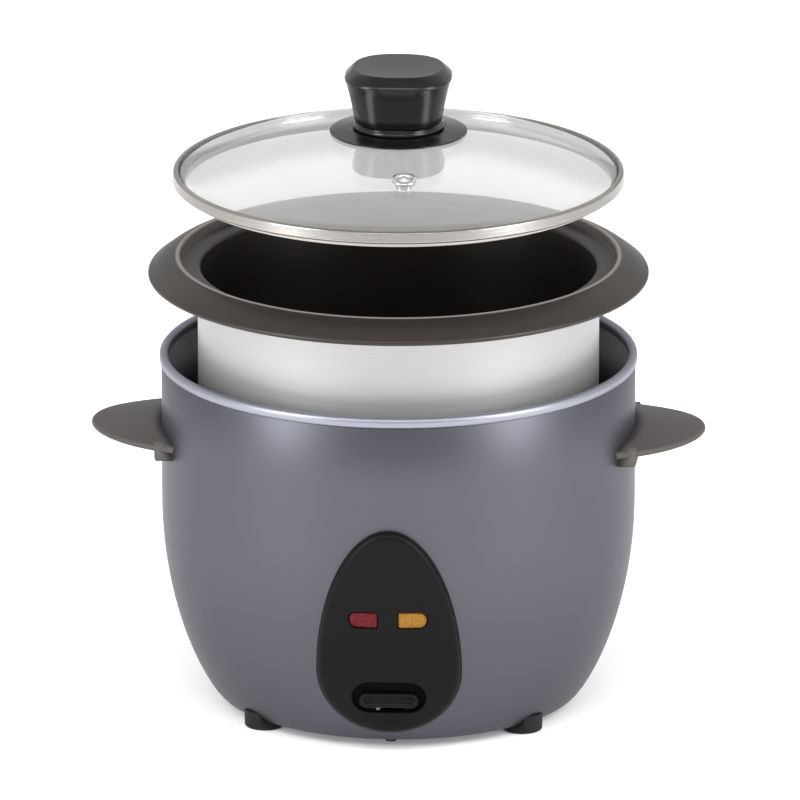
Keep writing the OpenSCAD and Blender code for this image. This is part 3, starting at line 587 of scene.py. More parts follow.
def eased(corners, steps=4):
    """An outline whose corners (x, z, radius) are rounded, with a point held close to each round."""
    out = []
    count = len(corners)
    for i, (x, z, r) in enumerate(corners):
        here = Vector((x, z))
        before = Vector(corners[i - 1][:2])
        after = Vector(corners[(i + 1) % count][:2])
        if r <= 0:
            out.append((x, z))
            continue
        to_before = (before - here).normalized()
        to_after = (after - here).normalized()
        half = math.acos(max(-1.0, min(1.0, to_before.dot(to_after)))) / 2
        reach = min(r / math.tan(half), (before - here).length * 0.45, (after - here).length * 0.45)
        first = here + to_before * reach
        last = here + to_after * reach
        out.append(tuple(here + to_before * reach * 1.08))
        for j in range(steps + 1):
            t = j / steps
            p = first * (1 - t) ** 2 + here * 2 * t * (1 - t) + last * t ** 2
            out.append(tuple(p))
        out.append(tuple(here + to_after * reach * 1.08))
    return out


def lathe(name, outline, materials, steps=144, pick=None):
    """A closed outline of (radius, height) turned about the Z axis."""
    rings = []
    for i in range(steps):
        a = 2 * math.pi * i / steps
        rings.append([(max(r, 0.0) * math.cos(a), max(r, 0.0) * math.sin(a), z) for r, z in outline])
    points, faces = skin_rings(rings, looped=True)
    slots = None
    if pick:
        count = len(outline)
        slots = [pick(j) for i in range(steps) for j in range(count)]
    return to_mesh(name, points, faces, materials, slots)


def cut(mesh, *tools):
    """The mesh less the tools' meshes."""
    target = bpy.data.objects.new("cutting", mesh)
    scene.collection.objects.link(target)
    helpers = []
    for tool in tools:
        helper = bpy.data.objects.new("tool", tool)
        scene.collection.objects.link(helper)
        helpers.append(helper)
        change = target.modifiers.new("cut", "BOOLEAN")
        change.operation = "DIFFERENCE"
        change.solver = "EXACT"
        change.object = helper
    bpy.context.view_layer.update()
    seen = target.evaluated_get(bpy.context.evaluated_depsgraph_get())
    result = bpy.data.meshes.new_from_object(seen)
    for obj in helpers + [target]:
        bpy.data.objects.remove(obj)
    return result


def block(low_corner, high_corner):
    """A plain box used only as a cutting tool."""
    (x0, y0, z0), (x1, y1, z1) = low_corner, high_corner
    base = [(x0, y0), (x1, y0), (x1, y1), (x0, y1)]
    points, faces = skin_rings([[(x, y, z0) for x, y in base], [(x, y, z1) for x, y in base]])
    return to_mesh("block", points, faces, [])


# ---------- the drum's shape ----------

def bowl_r(z):
    """Radius of the bowl-shaped foot at a height."""
    rise = (z - FOOT_H) / (BOWL_TOP - FOOT_H)
    return BOWL_FOOT_R + (BODY_R - BOWL_FOOT_R) * max(0.0, 1 - (1 - rise) ** 2) ** BOWL_POWER


def shell_r(z):
    """Radius of the drum at a height."""
    return BODY_R if z >= BOWL_TOP else bowl_r(max(z, FOOT_H))


def skin_r(z, out):
    """Radius of the drum at a height, grown by out along its normal."""
    slope = 0.0 if z >= BOWL_TOP else (bowl_r(z + 0.01) - bowl_r(z)) / 0.01
    return shell_r(z) + out * math.sqrt(1 + slope * slope)


def on_drum(x, z, out):
    """Point in front of the drum, out from its skin."""
    r = skin_r(z, out)
    return (x, -math.sqrt(max(r * r - x * x, 0.0)), z)


def drum_outside(out=0.0, steps=56):
    """(radius, height) up the drum from its foot to the start of the straight wall."""
    heights = [FOOT_H + (BOWL_TOP - FOOT_H) * (i / steps) ** 1.6 for i in range(steps + 1)]
    return [(skin_r(z, out), z) for z in heights]


# ---------- base ----------

def shell():
    """Painted drum: the bulging foot, the straight wall and the turned-in lip, with its two openings."""
    outside = drum_outside()
    inner_r = BODY_R - SHELL_WALL
    lip_top = FOOT_H + SHELL_WALL
    inside = [(skin_r(z, -SHELL_WALL), z) for _, z in reversed(outside) if z > lip_top + 0.5]
    outline = outside[1:] + [(BODY_R, 125.0), (BODY_R, 150.0), (BODY_R, SHELL_TOP - 0.4)]
    outline += [(BODY_R - 0.3, SHELL_TOP), (inner_r, SHELL_TOP), (inner_r, 150.0)]
    outline += inside
    outline += [(skin_r(6.5, -SHELL_WALL), lip_top), (LIP_R, lip_top), (LIP_R, FOOT_H)]
    outline += [(BOWL_FOOT_R - 2.0, FOOT_H), (BOWL_FOOT_R - 0.4, FOOT_H + 0.1)]
    drum = lathe("shell", outline, [PAINT], 192)
    near, past = LIP_R, BODY_R + 5.5
    lever_slot = block((-LEVER_SLOT_HALF, -past, LEVER_SLOT_LOW), (LEVER_SLOT_HALF, -near, LEVER_SLOT_HIGH))
    corner = low("inlet_housing")
    far = high("inlet_housing")
    inlet_hole = block((corner.x + INLET_STEP, near, corner.z + INLET_STEP),
                       (far.x - INLET_STEP, past, far.z - INLET_STEP))
    drum = cut(drum, lever_slot, inlet_hole)
    add_object("painted_shell", drum, "base", "shell_paint", "outer_shell")


def rim():
    """Rolled rim on top of the drum, painted with it in a lighter copy of the paint, a painted highlight.
    """
    mid_z = SHELL_TOP + RIM_BEAD_R + 0.4
    inner = RIM_MID_R - RIM_BEAD_R
    outer = RIM_MID_R + RIM_BEAD_R
    outline = arc(RIM_MID_R, mid_z, RIM_BEAD_R, 0, 180, 16)
    outline += [(inner, SHELL_TOP + 0.3), (inner + 0.3, SHELL_TOP)]
    outline += [(outer - 0.5, SHELL_TOP), (outer - 0.15, SHELL_TOP + 0.5), (outer, SHELL_TOP + 1.4)]
    add_object("rolled_rim", lathe("rim", outline, [RIM_PAINTED_HIGHLIGHT], 192), "base", "shell_paint", "top_rim")


def liner():
    """Deep-drawn chamber that the pot hangs in."""
    top_r = RIM_MID_R - RIM_BEAD_R + 0.2
    wall_r = high("inner_liner").x - LINER_WALL
    chamber_r = BODY_R - CHAMBER_IN
    floor_z = low("inner_liner").z
    funnel_z = SHELL_TOP - 24
    hole_r = 15.1
    mouth_r = min(top_r, wall_r)
    outline = eased([
        (mouth_r, SHELL_TOP, 0.0), (mouth_r + LINER_WALL, SHELL_TOP, 0.0),
        (chamber_r + LINER_WALL, funnel_z, 9.0), (chamber_r + LINER_WALL, floor_z, 6.0),
        (hole_r, floor_z, 0.0), (hole_r, floor_z + LINER_WALL, 0.0),
        (chamber_r, floor_z + LINER_WALL, 5.0), (chamber_r, funnel_z, 8.0)], 8)
    add_object("chamber_liner", lathe("liner", outline, [CHAMBER]), "base", "liner_metal", "inner_liner")


def foot(node):
    """Rubber foot with a rounded tread, cut to the drum's curve."""
    corner = low(node)
    far = high(node)
    x = far.x - FOOT_R if far.x > 0 else corner.x + FOOT_R
    y = far.y - FOOT_R if far.y > 0 else corner.y + FOOT_R
    top = FOOT_H + 5.2
    outline = eased([(0.0, 0.0, 0.0), (FOOT_R - 0.2, 0.0, 1.6), (FOOT_R, top, 0.8), (0.0, top, 0.0)])
    pad = lathe("foot", outline, [RUBBER], 64)
    for v in pad.vertices:
        v.co += Vector((x, y, 0)) * MM
    drum = drum_outside()[:40]
    drum_tool = lathe("drum", [(0.0, FOOT_H)] + drum + [(0.0, drum[-1][1])], [], 144)
    add_object(node + "_pad", cut(pad, drum_tool), "base", "foot_rubber", node)


def handle(side):
    """Side handle: a thin crowned wing, half an ellipse in plan, with a rounded edge."""
    node = "handle_right" if side > 0 else "handle_left"
    reach = high("handle_right").x
    root, half = HANDLE_ROOT, 52.04
    crown, droop = 4.0, math.tan(math.radians(3.0))
    edge_z = high("handle_right").z - crown
    crown_r = (HANDLE_HALF ** 2 + crown ** 2) / (2 * crown)
    r = HANDLE_T / 2
    spread = (0, 0.2, 0.4, 0.6, 0.8, 0.94, 1)
    last_y = high("handle_right").y - 0.15
    rings = []
    columns = 72
    for i in range(columns + 1):
        y = last_y * math.sin(math.pi * (i / columns - 0.5))
        across = math.sqrt(max(1 - (y / half) ** 2, 0.0))
        rim_x = root + (reach - root) * across
        normal = Vector(((rim_x - root) / (reach - root) ** 2, y / half ** 2)).normalized()
        in_x, in_y = rim_x - r * normal.x, y - r * normal.y
        body_x = math.sqrt(BODY_R ** 2 - min(y * y, BODY_R ** 2)) - 0.9
        body_x = min(body_x, in_x - 0.02)

        def lie(px, py, up):
            z = edge_z + crown + math.sqrt(crown_r ** 2 - py * py) - crown_r - (px - BODY_R) * droop
            return (side * px, py, z - r + up)

        ring = [lie(body_x + (in_x - body_x) * t, y + (in_y - y) * t, r) for t in spread]
        for j in range(1, 8):
            turn = math.pi / 2 - math.pi * j / 8
            ring.append(lie(in_x + r * math.cos(turn) * normal.x, in_y + r * math.cos(turn) * normal.y,
                            r * math.sin(turn)))
        ring += [lie(body_x + (in_x - body_x) * t, y + (in_y - y) * t, -r) for t in reversed(spread)]
        rings.append(ring)
    points, faces = skin_rings(rings)
    wing = to_mesh("wing", points, faces, [HANDLE])
    add_object(node + "_wing", wing, "base", "handle_plastic", node)
    pad = handle_pad(side, low("handle_right").z)
    add_object(node + "_pad", pad, "base", "handle_plastic")


def handle_pad(side, low_z):
    """Pad between the wing and the drum, seen as a small lug at each end under the wing."""
    top_z = low_z + 9.4
    half = HANDLE_HALF
    face_x = BODY_R + 2.5
    outline = []
    for i in range(25):
        y = half * (i / 12 - 1)
        outline.append((face_x - 1.2 * abs(y / half) ** 6, y))
    for i in range(25):
        y = half * (1 - i / 12)
        outline.append((math.sqrt(BODY_R ** 2 - y * y) - 0.9, y))
    rings = []
    for inset, z in ((1.0, low_z), (0.3, low_z + 0.25), (0.0, low_z + 1.0), (0.0, top_z)):
        rings.append([(side * (x - (inset if n < 25 else 0)), y * (1 - inset / half), z)
                      for n, (x, y) in enumerate(outline)])
    points, faces = skin_rings(rings)
    return to_mesh("pad", points, faces, [HANDLE])


# ---------- control panel ----------

def egg(out, steps=120):
    """Egg outline of the panel grown by out."""
    loop = []
    for i in range(steps):
        a = 2 * math.pi * i / steps
        tall = (PANEL_HIGH - PANEL_MID if math.sin(a) >= 0 else PANEL_MID - PANEL_LOW) + out
        loop.append(((PANEL_HALF_W + out) * math.cos(a), PANEL_MID + tall * math.sin(a)))
    return loop


def slot_loop(mid_x, mid_z, width, height, steps=12):
    """Outline with two round ends."""
    r = height / 2
    loop = [(mid_x + width / 2 - r + x, mid_z + z) for x, z in arc(0, 0, r, -90, 90, steps)]
    return loop + [(mid_x - width / 2 + r + x, mid_z + z) for x, z in arc(0, 0, r, 90, 270, steps)]


def lens_loop(side, grown, steps=10):
    """Lens outline, round at its outer end and square with small rounds at its inner end."""
    r = LENS_H / 2 + grown
    half = LENS_W / 2 + grown
    small = max(0.2, 0.8 + grown * 0.5)
    loop = [(half - r + x, z) for x, z in arc(0, 0, r, -90, 90, steps)]
    loop += [(-half + small + x, r - small + z) for x, z in arc(0, 0, small, 90, 180, 3)]
    loop += [(-half + small + x, -r + small + z) for x, z in arc(0, 0, small, 180, 270, 3)]
    if side < 0:
        loop = [(-x, z) for x, z in reversed(loop)]
    return [(side * LENS_X + x, LENS_Z + z) for x, z in loop]


def grow(loop, d):
    """The loop moved out by d along its own normals."""
    out = []
    count = len(loop)
    for i, (x, z) in enumerate(loop):
        ax, az = loop[i - 1]
        bx, bz = loop[(i + 1) % count]
        run = Vector((bx - ax, bz - az))
        if run.length < 1e-9:
            out.append((x, z))
            continue
        n = Vector((run.y, -run.x)).normalized()
        out.append((x + n.x * d, z + n.y * d))
    return out


def inside(x, z, loop):
    """True where the point lies in the loop."""
    odd = False
    for i, (x1, z1) in enumerate(loop):
        x0, z0 = loop[i - 1]
        if (z0 > z) != (z1 > z) and x < (x1 - x0) * (z - z0) / (z1 - z0) + x0:
            odd = not odd
    return odd


def sheet(outer, holes, pitch):
    """Triangles that fill the outer loop around its holes, with a grid of inner points."""
    loops = [outer] + holes
    points = [Vector(p) for loop in loops for p in loop]
    edges = []
    start = 0
    for loop in loops:
        count = len(loop)
        edges += [(start + i, start + (i + 1) % count) for i in range(count)]
        start += count
    xs = [p[0] for p in outer]
    zs = [p[1] for p in outer]
    kept_in = grow(outer, -pitch * 0.45)
    kept_out = [grow(hole, pitch * 0.45) for hole in holes]
    row = 0
    z = min(zs)
    while z < max(zs):
        x = min(xs) + (row % 2) * pitch / 2
        while x < max(xs):
            if inside(x, z, kept_in) and not any(inside(x, z, hole) for hole in kept_out):
                points.append(Vector((x, z)))
            x += pitch
        z += pitch * 0.87
        row += 1
    found = delaunay_2d_cdt(points, edges, [], 0, 1e-7)
    faces = []
    for face in found[2]:
        mid = sum((found[0][i] for i in face), Vector((0, 0))) / len(face)
        if inside(mid.x, mid.y, outer) and not any(inside(mid.x, mid.y, hole) for hole in holes):
            faces.append(tuple(face))
    return [tuple(p) for p in found[0]], faces


class Patchwork:
    """Collects the panel's patches as points in (x, height, out from the drum)."""

    def __init__(self):
        self.points = []
        self.faces = []
        self.slots = []
        self.slot = 0

    def add(self, points, faces):
        start = len(self.points)
        self.points += points
        self.faces += [tuple(start + i for i in face) for face in faces]
        self.slots += [self.slot] * len(faces)

    def fill(self, outer, holes, pitch, out):
        flat, faces = sheet(outer, holes, pitch)
        self.add([on_drum(x, z, out(x, z)) for x, z in flat], faces)

    def wall(self, steps):
        """A wall over loops of equal count, each given with its function for out."""
        rings = [[on_drum(x, z, out(x, z)) for x, z in loop] for loop, out in steps]
        self.add(*skin_rings(rings, capped=False))


def panel():
    """Egg-shaped control panel on the drum, with lens windows, a switch recess and a finger scoop."""
    edge, lip = 3.4, 1.0
    bar = (low("switch_button") + high("switch_button")) / 2
    recess_mid = bar.z + 1.2
    recess = slot_loop(0, recess_mid, 38.6, 18.6, 16)
    scoop_z = recess_mid - 10.5

    def scoop(x, z):
        spread = (x / 13.0) ** 2 + ((z - scoop_z) / 6.0) ** 2
        return 1.9 * math.exp(-spread * 1.2)

    def front(drop):
        return lambda x, z: PANEL_T - drop - scoop(x, z)

    def level(out):
        return lambda x, z: out

    work = Patchwork()
    windows = [lens_loop(side, 0.35) for side in (-1, 1)]
    openings = [grow(recess, lip)] + [grow(w, 0.5) for w in windows]
    work.fill(egg(-edge), openings, 2.2, front(0.0))
    rounds = [(math.sin(math.pi / 2 * i / 8), 1 - math.cos(math.pi / 2 * i / 8)) for i in range(9)]
    outer = [(egg(-edge + edge * run), front(edge * fall)) for run, fall in rounds]
    work.wall(outer + [(egg(0.0), level(0.6)), (egg(0.0), level(-0.4))])
    rounds = [(math.sin(math.pi / 2 * i / 5), 1 - math.cos(math.pi / 2 * i / 5)) for i in range(6)]
    lips = [(grow(recess, lip - lip * run), front(lip * fall)) for run, fall in rounds]
    work.wall(lips)
    # The recess walls and floor take the dull copy of the plastic, painted shade.
    work.slot = 1
    work.wall([lips[-1], (grow(recess, -0.1), level(1.6)), (grow(recess, -0.4), level(1.2))])
    gap = [(-LEVER_SLOT_HALF, LEVER_SLOT_LOW), (LEVER_SLOT_HALF, LEVER_SLOT_LOW),
           (LEVER_SLOT_HALF, LEVER_SLOT_HIGH), (-LEVER_SLOT_HALF, LEVER_SLOT_HIGH)]
    work.fill(grow(recess, -0.4), [gap], 2.5, level(1.2))
    work.wall([(gap, level(1.2)), (gap, level(-0.4))])
    work.slot = 0
    for window in windows:
        lips = [(grow(window, 0.5 - 0.5 * run), front(0.5 * fall)) for run, fall in rounds]
        work.wall(lips + [(window, level(0.4))])
    mesh = to_mesh("panel", work.points, work.faces, [PANEL, RECESS_PAINTED_SHADE], work.slots)
    add_object("panel_cover", mesh, "base", "panel_plastic", "control_panel")


def lens(side):
    """Indicator lens with a raised, rounded face."""
    node = "cook_lens" if side < 0 else "warm_lens"
    material = RED if side < 0 else AMBER
    steps = [(0.0, 0.5), (0.0, 3.7), (-0.25, 4.15), (-0.8, 4.45), (-1.8, 4.6), (-3.0, 4.68)]
    rings = [[on_drum(x, z, out) for x, z in lens_loop(side, grown)] for grown, out in steps]
    points, faces = skin_rings(rings)
    add_object(node + "_face", to_mesh("lens", points, faces, [material]), "base",
               "cook_red" if side < 0 else "warm_amber", node)


def switch_bar():
    """Press bar of the cook switch, with a shallow groove along it and a small bead near each end."""
    near = high("switch_button")
    far = low("switch_button")
    width, height = near.x - far.x, near.z - far.z
    mid = (near.z + far.z) / 2
    steps = [(0.0, 0.0), (0.0, 2.4), (-0.35, 3.2), (-1.0, 3.7), (-1.6, 3.7)]
    steps += [(-1.95, 3.45), (-2.4, 3.0), (-3.2, 2.9)]
    rings = []
    for grown, out in steps:
        loop = slot_loop(0, mid, width + 2 * grown, height + 2 * grown, 14)
        rings.append([(x, near.y - out, z) for x, z in loop])
    points, faces = skin_rings(rings)
    around = [2 * math.pi * i / 20 for i in range(20)]
    for side in (-1, 1):
        bead_x = side * (width / 2 - 4.2)
        rings = []
        for r, out in ((1.5, 2.8), (1.4, 3.25), (1.1, 3.4), (0.8, 3.3), (0.5, 3.1)):
            rings.append([(bead_x + r * math.cos(a), near.y - out, mid + r * math.sin(a)) for a in around])
        bead_points, bead_faces = skin_rings(rings)
        start = len(points)
        points += bead_points
        faces += [tuple(start + i for i in face) for face in bead_faces]
    mesh = to_mesh("bar", points, faces, [SWITCH])
    add_object("press_bar", mesh, "cook_lever", "panel_plastic", "switch_button")


# ---------- power inlet ----------

def rounded_box(half_x, half_z, r, mid_z, steps=5):
    """Rectangle with rounded corners in the XZ plane."""
    loop = []
    for cx, cz, start in ((1, 1, 0), (-1, 1, 90), (-1, -1, 180), (1, -1, 270)):
        corner_x, corner_z = cx * (half_x - r), mid_z + cz * (half_z - r)
        loop += arc(corner_x, corner_z, r, start, start + 90, steps)
    return loop


def inlet():
    """Appliance inlet at the back: a collar around a deep socket."""
    near = low("inlet_housing")
    far = high("inlet_housing")
    mid = (near.z + far.z) / 2
    half_x, half_z = far.x, (far.z - near.z) / 2
    face, back = far.y, near.y
    neck_x, neck_z = half_x - INLET_STEP, half_z - INLET_STEP
    socket_x, socket_z = half_x - 5.0, half_z - 5.0
    steps = [
        (neck_x, neck_z, 2.0, back), (neck_x, neck_z, 2.0, back + 12.0),
        (half_x, half_z, 3.0, back + 12.1), (half_x, half_z, 3.0, face - 1.2),
        (half_x - 0.35, half_z - 0.35, 2.8, face - 0.35), (half_x - 1.2, half_z - 1.2, 2.2, face),
        (socket_x + 0.8, socket_z + 0.8, 2.4, face), (socket_x + 0.2, socket_z + 0.2, 2.1, face - 0.3),
        (socket_x, socket_z, 2.0, face - 1.0), (socket_x, socket_z, 2.0, face - 21.5)]
    rings = [[(x, y, z) for x, z in rounded_box(hx, hz, r, mid)] for hx, hz, r, y in steps]
    points, faces = skin_rings(rings)
    mesh = to_mesh("inlet", points, faces, [PANEL])
    add_object("inlet_collar", mesh, "base", "panel_plastic", "inlet_housing")


# ---------- pot ----------

def pot():
    """Spun aluminium pot with a stepped mouth and a sloping rolled flange, coated inside."""
    bottom = low("inner_pot").z
    top = high("inner_pot").z
    slope = FLANGE_DROP / (FLANGE_R - CREST_R)
    fall = POT_WALL * math.sqrt(1 + slope ** 2)
    ledge = top - CREST_RISE
    roll = 1.4
    edge_r = FLANGE_R - roll
    dish_r = 25.5
    dish = 2.8
    r = POT_CORNER_R
    inner = POT_R - POT_WALL
    under = ledge - POT_WALL
    floor_top = bottom + dish + POT_WALL

    def flange_z(radius):
        return top - slope * (radius - CREST_R)

    outside = [(0.0, bottom + dish), (dish_r - 3, bottom + dish), (dish_r, bottom), (45.0, bottom)]
    outside += arc(POT_R - r, bottom + r, r, -90, 0, 16)
    outside += [(POT_R, bottom + 50.0), (POT_R, ledge - 30.0), (POT_R, under - 1.6)]
    outside += [(POT_R + 0.3, under - 0.5), (POT_R + 1.2, under), (CREST_R - 1, under)]
    outside += [(CREST_R, top - fall), (edge_r - 1, flange_z(edge_r - 1) - fall)]
    bare = len(outside)
    coated = arc(edge_r, flange_z(edge_r) - roll, roll, -90, 52, 9)
    for i in range(9, 0, -1):
        t = i / 10
        radius = CREST_R + t * (edge_r - CREST_R)
        coated.append((radius, flange_z(radius) + 5.2 * t * (1 - t)))
    coated += arc(CREST_R - 0.6, top - 0.9, 0.9, 55, 180, 6)
    coated += [(CREST_R - 1.8, ledge + 1.2), (CREST_R - 2.3, ledge + 0.35), (CREST_R - 3.2, ledge + 0.05)]
    coated += [(POT_R + 1.0, ledge - 0.3), (POT_R - 0.4, ledge - 0.5), (POT_R - 1.2, ledge - 1.0)]
    coated += [(inner, ledge - 2.4), (inner, ledge - 30.0), (inner, bottom + 50.0)]
    coated += arc(POT_R - r, bottom + r, r - POT_WALL, 0, -90, 16)
    coated += [(dish_r + 1, bottom + POT_WALL), (dish_r - 3, floor_top), (0.0, floor_top)]
    mesh = lathe("pot", outside + coated, [POT_OUT, COATING], 192, lambda j: 1 if j >= bare - 1 else 0)
    add_object("cooking_pot", mesh, "pot", "pot_aluminium", "inner_pot")


# ---------- lid ----------

BAND_TOP = high("lid_band").z
GLASS_R = high("lid_glass").x
DOME_RISE = 23.0
DOME_R = (GLASS_R ** 2 + DOME_RISE ** 2) / (2 * DOME_RISE)
DOME_MID = BAND_TOP - 1 + DOME_RISE - DOME_R


def glass_z(r, under=0.0):
    """Height of the dome's outer face, or of a face under it, at a radius."""
    return DOME_MID + math.sqrt((DOME_R - under) ** 2 - r * r)


def vent_frame():
    """Middle of the vent on the glass and the glass's normal there."""
    lean = VENT_OUT / DOME_R
    up = math.sqrt(1 - lean * lean)
    normal = Vector((lean * math.sin(VENT_TURN), -lean * math.cos(VENT_TURN), up))
    return Vector((0, 0, DOME_MID)) + normal * DOME_R, normal


def place_on(mesh, origin, normal):
    """Turns a mesh made about Z so that it stands on a point along a normal."""
    turn = Vector((0, 0, 1)).rotation_difference(normal)
    for v in mesh.vertices:
        v.co = turn @ v.co + origin * MM


def lid_dome():
    """Domed glass with a ground edge, a hole for the knob's screw and one for the vent."""
    radii = [4.0] + [4.0 + (GLASS_R - 5.0) * (i / 26) for i in range(1, 27)]
    outline = [(r, glass_z(r)) for r in radii]
    outline += [(GLASS_R, BAND_TOP - 1.8), (GLASS_R, BAND_TOP - 3.4)]
    outline += [(r, glass_z(r, GLASS_T)) for r in reversed(radii)]
    dome = lathe("dome", outline, [GLASS], 192)
    drill = lathe("drill", [(0.0, -12.0), (4.5, -12.0), (4.5, 8.0), (0.0, 8.0)], [], 48)
    origin, normal = vent_frame()
    place_on(drill, origin, normal)
    add_object("glass_dome", cut(dome, drill), "lid", "lid_glass_clear", "lid_glass")


def lid_ring():
    """Rolled steel band around the glass, with the lip that sits inside the pot's mouth."""
    band_r = high("lid_band").x
    lip_r = CREST_R - 3.5
    lip_z = low("lid_band").z
    low_z = lip_z + 3.0
    outline = eased([
        (band_r - 2.9, BAND_TOP - 0.2, 0.3), (band_r - 1.8, BAND_TOP, 0.6),
        (band_r - 0.4, BAND_TOP - 0.8, 0.8), (band_r, low_z + 0.8, 0.7), (band_r - 1.0, low_z, 0.5),
        (lip_r, low_z, 0.2), (lip_r - 0.1, lip_z, 0.3), (lip_r - 0.9, lip_z, 0.3),
        (lip_r - 1.0, low_z + 0.8, 0.3), (band_r - 3.3, low_z + 1.2, 0.2)], 4)
    add_object("steel_band", lathe("band", outline, [BAND], 192), "lid", "band_steel", "lid_band")


def vent():
    """Riveted steel eyelet of the steam vent."""
    hole, edge = 3.3, 6.6
    outline = eased([
        (hole, -GLASS_T - 0.3, 0.2), (4.4, -GLASS_T - 0.3, 0.2), (4.4, 0.05, 0.0), (edge, 0.05, 0.3),
        (edge - 0.4, 0.8, 0.7), (hole + 1.4, 1.35, 0.8), (hole, 0.5, 0.6)], 5)
    mesh = lathe("vent", outline, [STEEL], 64)
    origin, normal = vent_frame()
    place_on(mesh, origin, normal)
    add_object("vent_eyelet", mesh, "lid", "band_steel", "vent_grommet")


def square_ring(r, z, squareness=2.7, steps=96):
    """Ring with a rounded-square outline."""
    ring = []
    for i in range(steps):
        a = 2 * math.pi * i / steps
        c, s = math.cos(a), math.sin(a)
        x = math.copysign(abs(c) ** (2 / squareness), c)
        y = math.copysign(abs(s) ** (2 / squareness), s)
        ring.append((r * x, r * y, z))
    return ring


def knob():
    """Lid knob: a round neck bead under a rounded-square grip with a bevelled, dished top."""
    bottom = high("knob_skirt").z
    top = high("lid_knob").z
    neck = bottom + 4.0
    levels = [
        (4.0, bottom, 2.0), (WAIST_R + 0.2, bottom, 2.0), (WAIST_R + 0.9, bottom + 0.5, 2.0),
        (WAIST_R + 1.1, bottom + 1.4, 2.0), (WAIST_R + 0.8, bottom + 2.3, 2.0)]
    levels += [
        (WAIST_R - 0.6, bottom + 2.9, 2.1), (WAIST_R - 1.2, neck - 0.4, 2.4),
        (WAIST_R - 0.3, neck + 0.3, 2.7), (WAIST_R + 0.2, neck + 1.2, 2.7),
        (WAIST_R + 0.9, neck + 5.0, 2.7), (WAIST_R + 1.8, neck + 10.0, 2.7),
        (WAIST_R + 3.4, neck + 16.5, 2.7)]
    levels += [
        (KNOB_R - 0.75, top - 7.3, 2.7), (KNOB_R - 0.2, top - 6.3, 2.7), (KNOB_R, top - 5.5, 2.7),
        (KNOB_R - 0.25, top - 4.8, 2.7), (KNOB_R - 1.0, top - 4.0, 2.7), (KNOB_R - 3.0, top - 1.9, 2.6),
        (KNOB_R - 4.6, top - 0.35, 2.5), (KNOB_R - 5.2, top - 0.05, 2.45), (KNOB_R - 5.9, top - 0.1, 2.4)]
    grip = len(levels) - 1
    for i in range(1, 11):
        t = 1 - i / 10
        levels.append(((KNOB_R - 5.9) * t + 0.2, top - 0.1 - 2.0 * (1 - t * t), 2.4))
    rings = [square_ring(r, z, power) for r, z, power in levels]
    points, faces = skin_rings(rings)
    count = len(rings[0])
    slots = [1 if i // count >= grip else 0 for i in range(len(faces))]
    slots[-2] = 0
    mesh = to_mesh("knob", points, faces, [GLOSS, MATTE], slots)
    add_object("knob_grip", mesh, "lid", "knob_plastic", "lid_knob")


def skirt():
    """Thin round guard under the knob."""
    top = high("knob_skirt").z
    edge_z = glass_z(SKIRT_R)
    inner = WAIST_R - 3
    outline = eased([
        (inner, glass_z(inner) + 0.4, 0.0), (SKIRT_R - 1, edge_z + 0.4, 0.4), (SKIRT_R, edge_z + 0.7, 0.3),
        (SKIRT_R, edge_z + 1.3, 0.4), (SKIRT_R - 2, edge_z + 1.8, 1.2), (WAIST_R + 3, top - 0.15, 2.0),
        (inner, top, 0.0)], 5)
    add_object("knob_guard", lathe("skirt", outline, [GLOSS], 144), "lid", "knob_plastic", "knob_skirt")


# ---------- CAD nodes that keep their own shape ----------

def finish_nodes():
    """Gives each carried-over node its material."""
    kept = {
        ZINC: ["base_plate", "switch_frame", "magnet_holder"],
        BLACKED: ["base_screws", "switch_lever"],
        STEEL: ["handle_screws", "heater_screws", "heater_posts", "pivot_pin", "knob_screw",
                "knob_washer", "sensor_spring"],
        PANEL: ["panel_clips", "microswitch"],
        NEON: ["cook_lamp", "warm_lamp"],
        CREAM: ["lamp_holder", "terminal_block", "keep_warm_heater"],
        CAST: ["heater_plate", "sensor_cap", "sensor_guide"],
        HOT: ["heating_element"],
        FERRITE: ["sensor_ferrite", "magnet"],
        BRASS: ["thermal_fuse", "inlet_pins"],
        BROWN: ["wire_live"],
        BLUE: ["wire_neutral"],
    }
    for material, names in kept.items():
        for name in names:
            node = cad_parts[name]
            node.data.materials.clear()
            node.data.materials.append(material)


# ---------- studio ----------

def floor():
    """Wide pale floor that gives off light, with a painted shadow near the cooker."""
    f = Finish("floor_white", roughness=0.9, specular_ior_level=0.0)
    cloud = f.noise(2.0, 1.0)
    f.set("Base Color", f.mix(cloud, (0.86, 0.86, 0.86), (0.90, 0.90, 0.90)))
    # Painted shadow: the floor's glow drops to a quarter close to the cooker and returns by 45 cm out, a
    # soft shadow around its foot.
    radius = f.around()[1]
    f.set("Emission Color", f.mix(f.span(radius, 0.10, 0.45), (0.25, 0.25, 0.25), (1.0, 1.0, 1.0)))
    f.surface.inputs["Emission Strength"].default_value = 0.5
    points = [(-14000, -14000, 0), (14000, -14000, 0), (14000, 14000, 0), (-14000, 14000, 0)]
    mesh = bpy.data.meshes.new("floor")
    mesh.from_pydata([Vector(p) * MM for p in points], [], [(0, 1, 2, 3)])
    mesh.materials.append(f.material)
    obj = bpy.data.objects.new("floor", mesh)
    scene.collection.objects.link(obj)


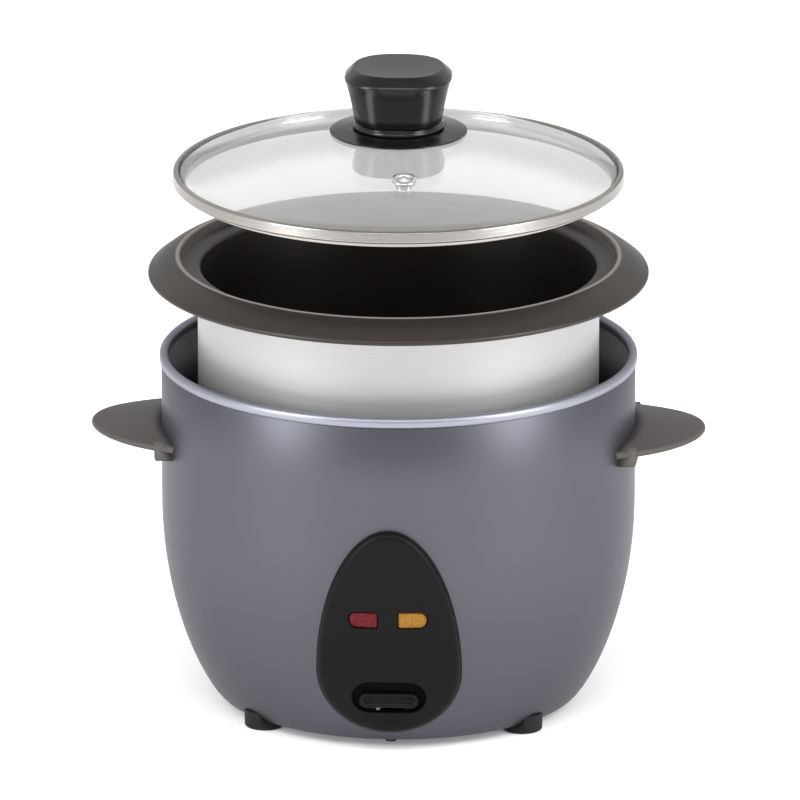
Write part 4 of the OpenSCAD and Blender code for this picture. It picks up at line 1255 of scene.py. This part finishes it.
def room():
    """Soft white room, brighter behind the cooker, and plain white where the camera sees it."""
    world = bpy.data.worlds.new("room")
    scene.world = world
    world.use_nodes = True
    n = Nodes(world.node_tree)
    direction = n.node("ShaderNodeTexCoord", output="Generated")
    ahead = n.node("ShaderNodeSeparateXYZ", None, {0: direction}, "Y")
    height = n.node("ShaderNodeSeparateXYZ", None, {0: direction}, "Z")
    flags = n.span(ahead, 0.78, 0.90) * n.span(ahead, 0.975, 0.99, 1.0, 0.0)
    flags = flags * n.span(height, 0.35, 0.6, 1.0, 0.0)
    overhead = n.span(height, 0.78, 0.97) * 0.35
    sides = n.span(ahead, -0.8, -0.2) * 0.38
    behind = n.span(ahead, 0.6, 0.9) * 0.3
    light = 0.52 + sides + behind - flags * 0.6 - overhead
    seen = n.node("ShaderNodeLightPath", output="Is Camera Ray")
    strength = light + seen * (1.0 - light)
    glow = n.node("ShaderNodeBackground", None, {"Color": (1.0, 1.0, 1.0), "Strength": strength})
    out = world.node_tree.nodes.new("ShaderNodeOutputWorld")
    world.node_tree.links.new(glow.socket, out.inputs[0])


def softbox(name, azimuth, elevation, distance, width, height, watts):
    """Area light that faces the cooker, azimuth from the front and positive to the right."""
    light = bpy.data.lights.new(name, "AREA")
    light.shape = "RECTANGLE"
    light.size = width
    light.size_y = height
    light.energy = watts
    lamp = bpy.data.objects.new(name, light)
    scene.collection.objects.link(lamp)
    a, e = math.radians(azimuth), math.radians(elevation)
    middle = Vector((0, 0, 0.13))
    away = Vector((math.sin(a) * math.cos(e), -math.cos(a) * math.cos(e), math.sin(e)))
    lamp.location = middle + away * distance
    lamp.rotation_euler = (-away).to_track_quat("-Z", "Y").to_euler()


def camera():
    """Long lens a little above the cooker and slightly to its right."""
    azimuth, elevation = math.radians(2.5), math.radians(17.15)
    away = Vector((math.sin(azimuth) * math.cos(elevation), -math.cos(azimuth) * math.cos(elevation),
                   math.sin(elevation)))
    data = bpy.data.cameras.new("camera")
    data.lens = 685.1
    data.sensor_width = 36.0
    data.shift_x = 0.0019
    data.clip_end = 100.0
    obj = bpy.data.objects.new("camera", data)
    scene.collection.objects.link(obj)
    obj.location = Vector((0, 0, 0.1609)) + away * 8.0
    obj.rotation_euler = (-away).to_track_quat("-Z", "Y").to_euler()
    scene.camera = obj


shell()
rim()
liner()
for name in ("foot_front_left", "foot_front_right", "foot_rear_left", "foot_rear_right"):
    foot(name)
for direction in (-1, 1):
    handle(direction)
    lens(direction)
panel()
switch_bar()
inlet()
pot()
lid_dome()
lid_ring()
vent()
skirt()
knob()
finish_nodes()

floor()
room()
softbox("left_softbox", -52, 27, 1.7, 0.5, 1.5, 26)
softbox("right_softbox", 59, 27, 1.7, 0.6, 1.5, 27)
softbox("top_softbox", 0, 52, 1.9, 1.2, 0.6, 12)
camera()
scene.view_settings.view_transform = "Standard"
